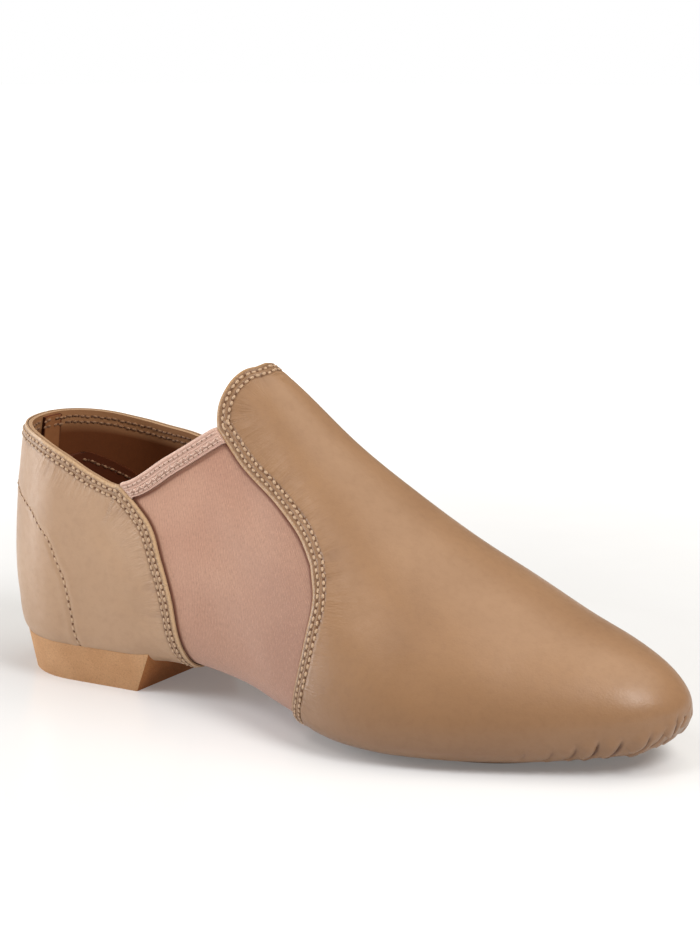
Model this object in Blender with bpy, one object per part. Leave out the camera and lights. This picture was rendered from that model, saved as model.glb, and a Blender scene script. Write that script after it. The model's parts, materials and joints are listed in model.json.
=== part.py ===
"""Slip-on jazz shoe for the right foot, in metres, +Z up, toe towards +X, inner side towards +Y.

A stretch body runs from collar to toe and under the arch. A leather vamp and a leather quarter
lie over it, folded bindings finish the top edges of its two gores, a sock lies inside, and a
split sole, forefoot pad and low heel, closes it underneath.
"""

import math
from collections import namedtuple

import bmesh
import bpy
from mathutils import Vector

# Driving sizes
SHOE_LENGTH = 0.243
BALL_WIDTH = 0.092
HEEL_WIDTH = 0.0656
TONGUE_HEIGHT = 0.108
BACK_HEIGHT = 0.083
HEEL_HEIGHT = 0.0108
HEEL_LENGTH = 0.0605
HEEL_BREAST_SLANT = 0.006
PAD_THICKNESS = 0.0016
TOE_SPRING = 0.0080

# Walls and running clearances
BODY_WALL = 0.0013
LEATHER = 0.0011
SOCK_THICKNESS = 0.0022
BINDING_THICKNESS = 0.0009
BINDING_DEPTH = 0.0052
CLEARANCE = 0.0003
BINDING_CLEARANCE = 0.0005

# Levels that follow from the sizes above
COVER = LEATHER + CLEARANCE
BODY_LENGTH = SHOE_LENGTH - 2 * COVER
HALF_BALL = BALL_WIDTH / 2 - COVER
HALF_HEEL = HEEL_WIDTH / 2 - COVER
HEEL_AXIS = COVER + HALF_HEEL
TREAD = PAD_THICKNESS + COVER + CLEARANCE
SEAT = HEEL_HEIGHT + COVER + CLEARANCE
RISE = TONGUE_HEIGHT - COVER

# Sections of the body's outer face, from heel to toe.
# along: share of the body's length. centre, outer, inner: sideways place of the ridge and the
# widths from it, as shares of the half width of heel or ball. seat, spring: height of the
# underside as shares of the rise from tread to seat and of the toe spring. girth, crown: heights
# of widest line and ridge as shares of the rise. top, base: how square the curve is above and
# below the widest line. flat: share of the width in which the underside is flat.
Section = namedtuple("Section", "along centre outer inner seat spring girth crown top base flat")
SECTIONS = (
    Section(0.000, 0.000, 1.000, 1.000, 1.00, 0.00, 0.366, 1.407, 1.6, 2.4, 0.70),
    Section(0.036, 0.000, 1.000, 1.000, 1.00, 0.00, 0.366, 1.407, 1.6, 2.4, 0.70),
    Section(0.128, 0.000, 0.990, 0.980, 1.00, 0.00, 0.347, 1.370, 1.6, 2.4, 0.70),
    Section(0.223, 0.000, 0.950, 0.910, 0.97, 0.00, 0.319, 1.257, 1.6, 2.4, 0.66),
    Section(0.325, 0.011, 0.659, 0.601, 0.84, 0.00, 0.291, 1.090, 1.6, 2.3, 0.56),
    Section(0.416, 0.022, 0.715, 0.581, 0.51, 0.00, 0.253, 0.956, 1.6, 2.3, 0.52),
    Section(0.507, 0.034, 0.912, 0.660, 0.18, 0.00, 0.206, 0.794, 1.5, 2.4, 0.56),
    Section(0.599, 0.045, 1.095, 0.780, 0.00, 0.00, 0.155, 0.657, 1.5, 2.6, 0.66),
    Section(0.670, 0.056, 1.135, 0.861, 0.00, 0.00, 0.127, 0.560, 1.5, 2.7, 0.70),
    Section(0.751, 0.058, 1.022, 0.865, 0.00, 0.00, 0.117, 0.468, 1.6, 2.7, 0.72),
    Section(0.832, 0.054, 0.825, 0.753, 0.00, 0.06, 0.122, 0.381, 1.7, 2.6, 0.70),
    Section(0.903, 0.040, 0.610, 0.570, 0.00, 0.26, 0.136, 0.325, 1.8, 2.5, 0.62),
    Section(0.964, 0.022, 0.381, 0.327, 0.00, 0.55, 0.155, 0.265, 1.9, 2.3, 0.50),
    Section(0.988, 0.013, 0.215, 0.190, 0.00, 1.00, 0.166, 0.220, 2.0, 2.2, 0.40),
)
TIP_CENTRE = 0.009
TIP_HEIGHT = 0.170
HEEL_WIDTH_TO = 0.223
BALL_WIDTH_FROM = 0.325

# Height of the opening's edge behind the throat, as shares of the back height
CollarPoint = namedtuple("CollarPoint", "along outer inner")
COLLAR = (
    CollarPoint(0.000, 1.000, 1.000),
    CollarPoint(0.040, 0.994, 0.978),
    CollarPoint(0.085, 0.974, 0.950),
    CollarPoint(0.135, 0.928, 0.930),
    CollarPoint(0.185, 0.862, 0.918),
    CollarPoint(0.230, 0.826, 0.903),
    CollarPoint(0.300, 0.945, 0.975),
)

# Edges of the leather as seen from the side, from the sole edge upwards: height as a share of the
# rise and place as a share of the body's length. The quarter's edge ends on the collar. The vamp's
# edge rises to its bend, the instep's edge runs back from there to the throat, and the tongue's
# edge runs on to the ridge.
EdgePoint = namedtuple("EdgePoint", "height along")
QUARTER_EDGE = (
    EdgePoint(0.100, 0.336),
    EdgePoint(0.194, 0.328),
    EdgePoint(0.306, 0.320),
    EdgePoint(0.439, 0.299),
    EdgePoint(0.533, 0.281),
    EdgePoint(0.586, 0.259),
    EdgePoint(0.640, 0.230),
)
VAMP_EDGE = (
    EdgePoint(0.040, 0.530),
    EdgePoint(0.146, 0.552),
    EdgePoint(0.320, 0.564),
    EdgePoint(0.416, 0.563),
    EdgePoint(0.500, 0.546),
)
INSTEP_EDGE = (
    EdgePoint(0.500, 0.546),
    EdgePoint(0.555, 0.524),
    EdgePoint(0.640, 0.476),
    EdgePoint(0.736, 0.410),
    EdgePoint(0.832, 0.364),
)
TONGUE_EDGE = (
    EdgePoint(0.832, 0.364),
    EdgePoint(0.863, 0.360),
    EdgePoint(0.905, 0.358),
    EdgePoint(0.945, 0.361),
    EdgePoint(0.974, 0.366),
    EdgePoint(0.994, 0.374),
    EdgePoint(1.000, 0.384),
)

# Outlines underneath, as shares of length and half width
PAD_FROM = 0.520
PAD_TO = 0.925
PAD_ON_FLAT = 0.98
PAD_END_POWER = 2.6
HEEL_REACH = 0.88
HEEL_TAPER = 0.97
OPENING_MARGIN = 0.010
OPENING_END_MARGIN = 0.014
SOCK_ON_FLAT = 0.95
SOCK_TO = 0.965
SOCK_ROUND_FROM = 0.86
PAD_LEVEL_FROM = 0.530
PAD_LEVEL_TO = 0.790
PAD_LIFT = 0.22
PAD_EDGE = 0.0010
BINDING_END_GAP = 0.0012

# Fineness of the facets
PROFILE_STEPS = 48
QUARTER_COLUMNS = 15
GORE_COLUMNS = 6
VAMP_COLUMNS = 19
UNDER_ROWS = 2
LOWER_ROWS = 5
UPPER_ROWS = 5
WALL_ROWS = LOWER_ROWS + UPPER_ROWS
TONGUE_ROWS = 6
CORNER_CROWDING = 1.4
SETTLE_SHARE = 0.55
TIP_CROWDING = 1.55
SOCK_COLUMNS = 26
SOCK_ROWS = 2
PAD_COLUMNS = 18
PAD_ROWS = 3
HEEL_ROWS = 2
NORMAL_STEP = 0.002
LEVEL_STEP = 0.01
TIP_LIMIT = 0.9995
SHARP_ANGLE = math.radians(50)
WELD = 0.00002

# Levels of a section's half: the middle of the underside, the edge of its flat, the widest line
# and the ridge
MIDDLE = 0.0
FLAT_EDGE = 0.5
WIDEST = 1.0
RIDGE = 2.0


def hermite(points, value):
    """Smooth value of a table's columns at one place; points are (place, columns) in order."""
    place = min(max(value, points[0][0]), points[-1][0])
    index = 1
    while index < len(points) - 1 and points[index][0] < place:
        index += 1
    (x0, p0), (x1, p1) = points[index - 1], points[index]
    before = points[index - 2] if index > 1 else None
    after = points[index + 1] if index + 1 < len(points) else None
    step = x1 - x0
    t = (place - x0) / step
    result = []
    for k, (a, b) in enumerate(zip(p0, p1)):
        middle = (b - a) / step
        left = middle
        right = middle
        if before is not None:
            back = (a - before[1][k]) / (x0 - before[0])
            left = (back * step + middle * (x0 - before[0])) / (x1 - before[0])
        if after is not None:
            ahead = (after[1][k] - b) / (after[0] - x1)
            right = (middle * (after[0] - x1) + ahead * step) / (after[0] - x0)
        result.append(
            a * (2 * t**3 - 3 * t**2 + 1)
            + b * (3 * t**2 - 2 * t**3)
            + left * step * (t**3 - 2 * t**2 + t)
            + right * step * (t**3 - t**2)
        )
    return result


def ease(share):
    """A share from 0 to 1 that starts and ends gently."""
    held = min(max(share, 0.0), 1.0)
    return held * held * (3 - 2 * held)


def mix(a, b, share):
    """The value at a share of the way from one value to another."""
    return a + (b - a) * share


def even(count):
    """Evenly spaced shares from 0 to 1."""
    return [k / count for k in range(count + 1)]


def outline_distance(along):
    """Distance back from the toe tip along the plan outline, for a station's share of length."""
    x = along * BODY_LENGTH
    if x >= HALF_HEEL:
        return BODY_LENGTH - x
    turn = math.acos(max(-1.0, 1 - x / HALF_HEEL))
    return BODY_LENGTH - HALF_HEEL + (math.pi / 2 - turn) * HALF_HEEL


def half_width(along):
    """The half width that a station's shares are taken of: the heel's behind, the ball's ahead."""
    blend = ease((along - HEEL_WIDTH_TO) / (BALL_WIDTH_FROM - HEEL_WIDTH_TO))
    return mix(HALF_HEEL, HALF_BALL, blend)


def smooth_table():
    """Sections in metres over the root of the distance to the tip, in which a round end is even.

    Rows mirrored past the tip and past the heel's back keep both ends round.
    """
    rows = []
    for s in SECTIONS:
        half = half_width(s.along)
        under = TREAD + s.seat * (SEAT - TREAD) + s.spring * TOE_SPRING
        girth = s.girth * RISE
        widths = (s.centre * half, s.outer * half, s.inner * half)
        heights = (girth - under, girth, s.crown * RISE - girth)
        rows.append((outline_distance(s.along), widths + heights + (s.top, s.base, s.flat)))
    rows.sort()
    tip = (TIP_CENTRE * HALF_BALL, 0.0, 0.0, 0.0, TIP_HEIGHT * RISE, 0.0) + rows[0][1][6:]
    mirrored = []
    for distance, c in rows[:2]:
        turned = (c[0], -c[1], -c[2], -c[3], c[4], -c[5]) + c[6:]
        mirrored.append((-math.sqrt(distance), turned))
    total = rows[-1][0]
    behind = [(math.sqrt(2 * total - distance), c) for distance, c in rows[-3:-1]]
    return sorted(mirrored + [(0.0, tip)] + [(math.sqrt(d), c) for d, c in rows] + behind)


SMOOTH = smooth_table()
Shape = namedtuple("Shape", "centre outer inner depth girth height top base flat")


def section_at(along):
    """The section's shape at a station, in metres."""
    return Shape(*hermite(SMOOTH, math.sqrt(max(outline_distance(along), 0.0))))


def width_at(shape, side):
    """A section's width from its ridge line to one side."""
    return shape.outer if side < 0 else shape.inner


def profile_point(shape, side, level):
    """Point (reach, height) of a half section at a level."""
    width = width_at(shape, side)
    if level <= FLAT_EDGE:
        return (width * shape.flat * level / FLAT_EDGE, shape.girth - shape.depth)
    if level <= WIDEST:
        angle = (level - FLAT_EDGE) / (WIDEST - FLAT_EDGE) * math.pi / 2
        power = 2 / shape.base
        reach = width * mix(shape.flat, 1.0, math.sin(angle) ** power)
        return (reach, shape.girth - shape.depth * max(math.cos(angle), 0.0) ** power)
    share = 1 - (RIDGE - level) ** 2
    reach = width * math.sqrt(max(0.0, 1 - max(share, 0.0) ** shape.top))
    return (reach, shape.girth + shape.height * share)


def level_at_height(along, height):
    """Level at which a section's side reaches a height; the flat's edge below the underside."""
    shape = section_at(along)
    if height >= shape.girth:
        share = min(1.0, (height - shape.girth) / shape.height)
        return RIDGE - math.sqrt(1 - share)
    drop = min(1.0, (shape.girth - height) / shape.depth)
    angle = math.acos(drop ** (shape.base / 2))
    return mix(FLAT_EDGE, WIDEST, angle / (math.pi / 2))


def level_at_reach(along, side, reach):
    """Level underneath at which a section's curve is that far from its centre."""
    shape = section_at(along)
    width = width_at(shape, side)
    flat = width * shape.flat
    if reach <= flat:
        return FLAT_EDGE * max(reach, 0.0) / flat if flat > 0 else MIDDLE
    share = min(1.0, (reach - flat) / (width - flat))
    angle = math.asin(share ** (shape.base / 2))
    return mix(FLAT_EDGE, WIDEST, angle / (math.pi / 2))


def place(along, side, reach, height):
    """A section's point in the shoe: sections stand across it and fan out round the heel."""
    x = along * BODY_LENGTH
    centre = section_at(along).centre
    if x >= HALF_HEEL:
        return Vector((COVER + x, centre + side * reach, height))
    turn = math.acos(1 - x / HALF_HEEL)
    return Vector((HEEL_AXIS - reach * math.cos(turn), centre + side * reach * math.sin(turn), height))


def face_point(along, side, level):
    """Point of the body's outer face."""
    return place(along, side, *profile_point(section_at(along), side, level))


def normal(along, side, level):
    """Outward direction of the body's outer face."""
    if along > TIP_LIMIT:
        return Vector((1.0, 0.0, 0.0))
    ahead = min(along + NORMAL_STEP, 1.0)
    behind = max(along - NORMAL_STEP, 0.0)
    lengthways = face_point(ahead, side, level) - face_point(behind, side, level)
    high = face_point(along, side, min(level + LEVEL_STEP, RIDGE))
    low = face_point(along, side, max(level - LEVEL_STEP, MIDDLE))
    direction = lengthways.cross(high - low) * -side
    if along < NORMAL_STEP:
        direction.y = 0.0
    return direction.normalized()


def surface(along, side, level, out=0.0):
    """Point of a face that lies out from the body's outer face along its normal."""
    point = face_point(along, side, level)
    return point + normal(along, side, level) * out if out else point


def along_at_distance(distance):
    """Share of the length at a distance from the heel's back along the plan outline."""
    quarter_turn = HALF_HEEL * math.pi / 2
    if distance < quarter_turn:
        return HALF_HEEL * (1 - math.cos(distance / HALF_HEEL)) / BODY_LENGTH
    return (HALF_HEEL + distance - quarter_turn) / BODY_LENGTH


def distance_at_along(along):
    """Distance from the heel's back along the plan outline, for a share of the length."""
    return outline_distance(0.0) - outline_distance(along)


def girth_table(along, side, low, high):
    """Levels and girth lengths along a half section between two levels."""
    shape = section_at(along)
    levels = [mix(low, high, share) for share in even(PROFILE_STEPS)]
    points = [profile_point(shape, side, level) for level in levels]
    lengths = [0.0]
    for a, b in zip(points, points[1:]):
        lengths.append(lengths[-1] + math.dist(a, b))
    return levels, lengths


def level_at_share(along, side, low, high, share):
    """The level at a share of the girth between two levels."""
    levels, lengths = girth_table(along, side, low, high)
    wanted = share * lengths[-1]
    for k in range(1, len(levels)):
        if lengths[k] >= wanted and lengths[k] > lengths[k - 1]:
            part = (wanted - lengths[k - 1]) / (lengths[k] - lengths[k - 1])
            return mix(levels[k - 1], levels[k], part)
    return high


def share_at_level(along, side, low, high, level):
    """The share of the girth between two levels that lies under a level."""
    levels, lengths = girth_table(along, side, low, high)
    position = (level - low) / (high - low) * PROFILE_STEPS
    k = min(max(int(position), 0), PROFILE_STEPS - 1)
    return mix(lengths[k], lengths[k + 1], position - k) / lengths[-1]


def collar_level(along, side):
    """Level of the opening's edge at a station behind the throat."""
    points = [(c.along, (c.outer * BACK_HEIGHT, c.inner * BACK_HEIGHT)) for c in COLLAR]
    throat = INSTEP_EDGE[-1]
    points.append((throat.along, (throat.height * RISE, throat.height * RISE)))
    outer, inner = hermite(points, along)
    return level_at_height(along, outer if side < 0 else inner)


def eye(along, start, end):
    """Share of the full width of an eye-shaped outline at a station between its ends."""
    middle = (start + end) / 2
    offset = min(1.0, abs(along - middle) / (end - middle))
    return math.sqrt(1 - offset**PAD_END_POWER)


def flat_reach(along, side):
    """Half width of the sole's share of the flat underside at a station."""
    shape = section_at(along)
    return PAD_ON_FLAT * shape.flat * width_at(shape, side)


def pad_reach(along, side):
    """Half width of the forefoot pad at a station: eye-shaped, within the flat of the underside."""
    return flat_reach(along, side) * eye(along, PAD_FROM, PAD_TO)


def heel_reach(along, side):
    """Half width of the heel at a station."""
    return HEEL_REACH * width_at(section_at(along), side)


def opening_level(along, side):
    """Level of the edge of the openings underneath, which pad and heel cover by a margin."""
    end_margin = OPENING_END_MARGIN / BODY_LENGTH
    inside = flat_reach(along, side) - OPENING_MARGIN
    axis = HALF_HEEL / BODY_LENGTH
    heel_end = (HEEL_LENGTH - OPENING_MARGIN) / BODY_LENGTH
    if along < heel_end:
        beyond = max(0.0, (along - axis) / (heel_end - axis))
        return level_at_reach(along, side, inside * math.sqrt(1 - beyond**2))
    return level_at_reach(along, side, inside * eye(along, PAD_FROM + end_margin, PAD_TO - end_margin))


def crowded(count):
    """Shares from 0 to 1 that lie closer together at the start, round the sole's corner."""
    return [share**CORNER_CROWDING for share in even(count)]


def edge_nodes(edge, shares):
    """(along, level) nodes of a leather edge at shares of its length, given from the side."""
    points = [(p.height * RISE, p.along * BODY_LENGTH) for p in edge]
    lengths = [0.0]
    for a, b in zip(points, points[1:]):
        lengths.append(lengths[-1] + math.dist(a, b))
    table = list(zip(lengths, points))
    nodes = []
    for share in shares:
        height, x = hermite(table, share * lengths[-1])
        nodes.append((x / BODY_LENGTH, level_at_height(x / BODY_LENGTH, height)))
    return nodes


def girth_nodes(edge, side, shares):
    """(along, level) nodes of a leather edge at shares of its true length over the shoe's side."""
    fine = edge_nodes(edge, even(PROFILE_STEPS))
    points = [face_point(along, side, level) for along, level in fine]
    lengths = [0.0]
    for a, b in zip(points, points[1:]):
        lengths.append(lengths[-1] + (b - a).length)
    table = list(zip(lengths, fine))
    return [tuple(hermite(table, share * lengths[-1])) for share in shares]


def under_nodes(along, side):
    """Nodes of a seam's part underneath, from the middle or opening to the flat's edge."""
    low = opening_level(along, side)
    return [(along, mix(low, FLAT_EDGE, share)) for share in even(UNDER_ROWS)]


def quarter_seam(side):
    """Nodes of the quarter's front edge, from the middle of the underside up to the collar."""
    wall = girth_nodes(QUARTER_EDGE, side, crowded(WALL_ROWS))
    top_along = wall[-1][0]
    rise = collar_level(top_along, side) - wall[-1][1]
    raised = [(along, level + rise * share**2) for (along, level), share in zip(wall, even(WALL_ROWS))]
    return under_nodes(QUARTER_EDGE[0].along, side) + raised[1:]


def vamp_seam(side):
    """Nodes of the vamp's edge, from the middle of the underside up to the throat."""
    lower = girth_nodes(VAMP_EDGE, side, crowded(LOWER_ROWS))
    upper = edge_nodes(INSTEP_EDGE, even(UPPER_ROWS))
    return under_nodes(VAMP_EDGE[0].along, side) + lower[1:] + upper[1:]


def row_shares(nodes, side, high_at):
    """Share of the girth above the flat's edge for each node of a seam's wall."""
    shares = []
    for along, level in nodes[UNDER_ROWS:]:
        shares.append(share_at_level(along, side, FLAT_EDGE, high_at(along, side), level))
    return shares


def quarter_nodes(side):
    """Columns of nodes from the heel's back to the quarter's front edge."""
    seam = quarter_seam(side)
    end_shares = row_shares(seam, side, collar_level)
    columns = []
    for column in even(QUARTER_COLUMNS):
        line = []
        for row, (end_along, end_level) in enumerate(seam):
            along = along_at_distance(column * distance_at_along(end_along))
            shares = [mix(a, b, ease(column)) for a, b in zip(crowded(WALL_ROWS), end_shares)]
            if row <= UNDER_ROWS:
                level = mix(opening_level(along, side), FLAT_EDGE, row / UNDER_ROWS)
            else:
                high = collar_level(along, side)
                level = level_at_share(along, side, FLAT_EDGE, high, shares[row - UNDER_ROWS])
            line.append((along, end_level if column == 1 else level))
        columns.append(line)
    return columns


def gore_nodes(side):
    """Columns of nodes between the quarter's and the vamp's edge; the top row is the collar."""
    back = quarter_seam(side)
    front = vamp_seam(side)
    columns = []
    for column in even(GORE_COLUMNS):
        top_along = mix(back[-1][0], front[-1][0], column)
        sag = collar_level(top_along, side) - mix(back[-1][1], front[-1][1], column)
        line = []
        for row, (a, b) in enumerate(zip(back, front)):
            lift = sag * max(0.0, (row - UNDER_ROWS) / WALL_ROWS) ** 2
            line.append((mix(a[0], b[0], column), mix(a[1], b[1], column) + lift))
        columns.append(line)
    return columns


def bend_column():
    """Nodes up the station of the vamp edge's bend, from the edge to the ridge."""
    along, low = edge_nodes(INSTEP_EDGE, [0.0])[0]
    side = -1
    nodes = [(along, level_at_share(along, side, low, RIDGE, share)) for share in even(TONGUE_ROWS)]
    return nodes[:-1] + [(along, RIDGE)]


def instep_nodes():
    """Columns of nodes from the tongue's back edge to the bend, between instep edge and ridge."""
    edge = edge_nodes(INSTEP_EDGE, even(UPPER_ROWS))[::-1]
    back = edge_nodes(TONGUE_EDGE, even(TONGUE_ROWS))
    back[-1] = (back[-1][0], RIDGE)
    front = bend_column()
    columns = []
    for node in edge:
        u = (node[0] - edge[0][0]) / (edge[-1][0] - edge[0][0])
        line = []
        for v, b, f in zip(even(TONGUE_ROWS), back, front):
            top = (mix(back[-1][0], front[-1][0], u), RIDGE)
            pair = []
            for k in (0, 1):
                low_corners = mix(edge[0][k], edge[-1][k], u)
                high_corners = mix(back[-1][k], front[-1][k], u)
                across_value = mix(node[k], top[k], v)
                pair.append(across_value + mix(b[k], f[k], u) - mix(low_corners, high_corners, v))
            line.append(tuple(pair))
        columns.append(line)
    return columns


def forefoot_nodes(side):
    """Columns of nodes from the vamp's edge and the bend's column to the toe tip."""
    start = vamp_seam(side)[: UNDER_ROWS + LOWER_ROWS + 1] + bend_column()[1:]
    first = row_shares(start, side, lambda along, one_side: RIDGE)
    settled = crowded(len(first) - 1)
    columns = []
    for column in even(VAMP_COLUMNS):
        forward = 1 - (1 - column) ** TIP_CROWDING
        blend = ease(forward / SETTLE_SHARE)
        line = []
        for row, (start_along, start_level) in enumerate(start):
            along = mix(start_along, 1.0, forward)
            if column == 0 or row == len(start) - 1:
                level = start_level
            elif row <= UNDER_ROWS:
                level = mix(opening_level(along, side), FLAT_EDGE, row / UNDER_ROWS)
            else:
                share = mix(first[row - UNDER_ROWS], settled[row - UNDER_ROWS], blend)
                level = level_at_share(along, side, FLAT_EDGE, RIDGE, share)
            line.append((along, level))
        columns.append(line)
    return columns


def material(name, colour, roughness):
    """A plain finish for a piece."""
    made = bpy.data.materials.new(name)
    made.use_nodes = True
    shader = made.node_tree.nodes["Principled BSDF"]
    shader.inputs["Base Color"].default_value = (*colour, 1.0)
    shader.inputs["Roughness"].default_value = roughness
    return made


def add_object(name, bm, finish):
    """Puts a finished bmesh into the scene as a named piece of the shoe."""
    bmesh.ops.recalc_face_normals(bm, faces=bm.faces)
    mesh = bpy.data.meshes.new(name)
    bm.to_mesh(mesh)
    bm.free()
    mesh.shade_smooth()
    mesh.set_sharp_from_angle(angle=SHARP_ANGLE)
    mesh.materials.append(finish)
    piece = bpy.data.objects.new(name, mesh)
    bpy.context.scene.collection.objects.link(piece)
    return piece


def add_grid(bm, points):
    """Joins rows of points into a sheet of quads."""
    rows = [[bm.verts.new(p) for p in row] for row in points]
    for lower, upper in zip(rows, rows[1:]):
        for k in range(len(lower) - 1):
            bm.faces.new((lower[k], lower[k + 1], upper[k + 1], upper[k]))


def weld(bm):
    """Joins points that meet and drops the faces that this closes up."""
    bmesh.ops.remove_doubles(bm, verts=bm.verts, dist=WELD)
    bmesh.ops.dissolve_degenerate(bm, edges=bm.edges, dist=WELD)


def add_sheet(name, patches, out, finish):
    """Joins patches of nodes for both sides into one sheet whose faces look outwards."""
    bm = bmesh.new()
    for side, nodes in patches:
        add_grid(bm, [[surface(along, side, level, out) for along, level in line] for line in nodes])
    weld(bm)
    piece = add_object(name, bm, finish)
    inside = Vector((SHOE_LENGTH / 2, 0.0, SEAT + SOCK_THICKNESS))
    facing = sum(f.normal.dot(f.center - inside) * f.area for f in piece.data.polygons)
    if facing < 0:
        piece.data.flip_normals()
    return piece


def thicken(piece, thickness, outwards):
    """Gives a sheet its wall."""
    wall = piece.modifiers.new("wall", "SOLIDIFY")
    wall.thickness = thickness
    wall.offset = 1.0 if outwards else -1.0
    wall.use_even_offset = True
    wall.use_quality_normals = True
    return piece


def make_body(finish):
    """The stretch body: one hollow wall from collar to toe, open where the soles close it."""
    patches = []
    for side in (-1, 1):
        for nodes in (quarter_nodes(side), gore_nodes(side), instep_nodes(), forefoot_nodes(side)):
            patches.append((side, nodes))
    return thicken(add_sheet("upper_body", patches, 0.0, finish), BODY_WALL, outwards=False)


def make_vamp(finish):
    """The leather vamp with its tongue, lasted under the forefoot."""
    patches = []
    for side in (-1, 1):
        patches += [(side, instep_nodes()), (side, forefoot_nodes(side))]
    return thicken(add_sheet("vamp", patches, CLEARANCE, finish), LEATHER, outwards=True)


def make_quarter(finish):
    """The leather quarter round the heel, from under the seat up to the collar."""
    patches = [(side, quarter_nodes(side)) for side in (-1, 1)]
    return thicken(add_sheet("quarter", patches, CLEARANCE, finish), LEATHER, outwards=True)


def make_binding(name, side, finish):
    """A folded binding over the top edge of one gore, from the quarter to the vamp."""
    tops = []
    lows = []
    outs = []
    for line in gore_nodes(side):
        tops.append(surface(line[-1][0], side, line[-1][1]))
        lows.append(surface(line[-2][0], side, line[-2][1]))
        outs.append(normal(line[-1][0], side, line[-1][1]))
    first_gap = BINDING_END_GAP / (tops[1] - tops[0]).length
    last_gap = BINDING_END_GAP / (tops[-1] - tops[-2]).length
    last = len(tops) - 1
    stops = [first_gap] + list(range(1, last)) + [last - last_gap]
    inner_face = BODY_WALL + BINDING_CLEARANCE
    bm = bmesh.new()
    loops = []
    for stop in stops:
        k = min(int(stop), last - 1)
        top = tops[k].lerp(tops[k + 1], stop - k)
        low = lows[k].lerp(lows[k + 1], stop - k)
        out = outs[k].lerp(outs[k + 1], stop - k).normalized()
        up = (top - low).normalized()
        hem = top - up * BINDING_DEPTH
        cap = up * BINDING_CLEARANCE
        roof = up * (BINDING_CLEARANCE + BINDING_THICKNESS)
        ring = (
            hem + out * BINDING_CLEARANCE,
            top + out * BINDING_CLEARANCE + cap,
            top - out * inner_face + cap,
            hem - out * inner_face,
            hem - out * (inner_face + BINDING_THICKNESS),
            top - out * (inner_face + BINDING_THICKNESS) + roof,
            top + out * (BINDING_CLEARANCE + BINDING_THICKNESS) + roof,
            hem + out * (BINDING_CLEARANCE + BINDING_THICKNESS),
        )
        loops.append([bm.verts.new(p) for p in ring])
    for a, b in zip(loops, loops[1:]):
        for k in range(len(a)):
            n = (k + 1) % len(a)
            bm.faces.new((a[k], a[n], b[n], b[k]))
    caps = [bm.faces.new(reversed(loops[0])), bm.faces.new(loops[-1])]
    bmesh.ops.triangulate(bm, faces=caps)
    return add_object(name, bm, finish)


def make_sock(finish):
    """The padded sock that lies on the body's floor."""
    length = distance_at_along(SOCK_TO)
    patches = []
    for side in (-1, 1):
        nodes = []
        for column in even(SOCK_COLUMNS):
            along = along_at_distance(length * column)
            beyond = max(0.0, (along - SOCK_ROUND_FROM) / (SOCK_TO - SOCK_ROUND_FROM))
            edge = SOCK_ON_FLAT * FLAT_EDGE * math.sqrt(max(0.0, 1 - beyond**2))
            nodes.append([(along, edge * row) for row in even(SOCK_ROWS)])
        patches.append((side, nodes))
    sock = add_sheet("sock", patches, -BODY_WALL - CLEARANCE, finish)
    return thicken(sock, SOCK_THICKNESS, outwards=False)


def underside(along, side, reach):
    """Point of the leather's underside, less the clearance to a sole, at a reach from the centre."""
    return surface(along, side, level_at_reach(along, side, reach), COVER + CLEARANCE)


def close_slab(top, bottom, close_start):
    """Closes a slab from two grids of points of the same size, row by row."""
    bm = bmesh.new()
    tops = [[bm.verts.new(p) for p in row] for row in top]
    bottoms = [[bm.verts.new(p) for p in row] for row in bottom]
    for grid in (tops, bottoms):
        for a, b in zip(grid, grid[1:]):
            for k in range(len(a) - 1):
                bm.faces.new((a[k], a[k + 1], b[k + 1], b[k]))
    rims = [([row[0] for row in tops], [row[0] for row in bottoms])]
    rims.append(([row[-1] for row in tops], [row[-1] for row in bottoms]))
    rims.append((tops[-1], bottoms[-1]))
    if close_start:
        rims.append((tops[0], bottoms[0]))
    for upper, lower in rims:
        for k in range(len(upper) - 1):
            bm.faces.new((upper[k], upper[k + 1], lower[k + 1], lower[k]))
    weld(bm)
    return bm


def make_pad(finish):
    """The forefoot sole: flat under the ball, lifting with the toe, its upper face on the vamp."""
    top = []
    bottom = []
    for column in even(PAD_COLUMNS):
        along = mix(PAD_FROM, PAD_TO, (1 - math.cos(column * math.pi)) / 2)
        ahead = max(0.0, along - PAD_LEVEL_TO)
        behind = max(0.0, PAD_LEVEL_FROM - along)
        lift = PAD_LIFT * (ahead**2 + behind**2)
        upper = [underside(along, -1, pad_reach(along, -1) * row) for row in even(PAD_ROWS)][::-1]
        upper += [underside(along, 1, pad_reach(along, 1) * row) for row in even(PAD_ROWS)][1:]
        top.append(upper)
        bottom.append([Vector((p.x, p.y, min(lift, p.z - PAD_EDGE))) for p in upper])
    return add_object("forefoot_sole", close_slab(top, bottom, close_start=True), finish)


def seat_row(line, side):
    """Top of half the heel under a column of the quarter's nodes: flat seat, then its corner.

    The corner follows the leather's own rows, so that the two faces lie parallel.
    """
    along = line[UNDER_ROWS][0]
    shape = section_at(along)
    flat = shape.flat * width_at(shape, side)
    points = [underside(along, side, flat * row) for row in even(HEEL_ROWS)]
    corner = line[UNDER_ROWS + 1 : UNDER_ROWS + 3]
    near_reach, far_reach = [profile_point(section_at(a), side, level)[0] for a, level in corner]
    near, far = [surface(a, side, level, COVER + CLEARANCE) for a, level in corner]
    share = (heel_reach(along, side) - near_reach) / (far_reach - near_reach)
    return points + [near, near.lerp(far, share)]


def floor_row(along, side, count):
    """Bottom of half the heel at a station, with as many points as its top."""
    reach = HEEL_TAPER * heel_reach(along, side)
    return [place(along, side, reach * row, 0.0) for row in even(count - 1)]


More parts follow.
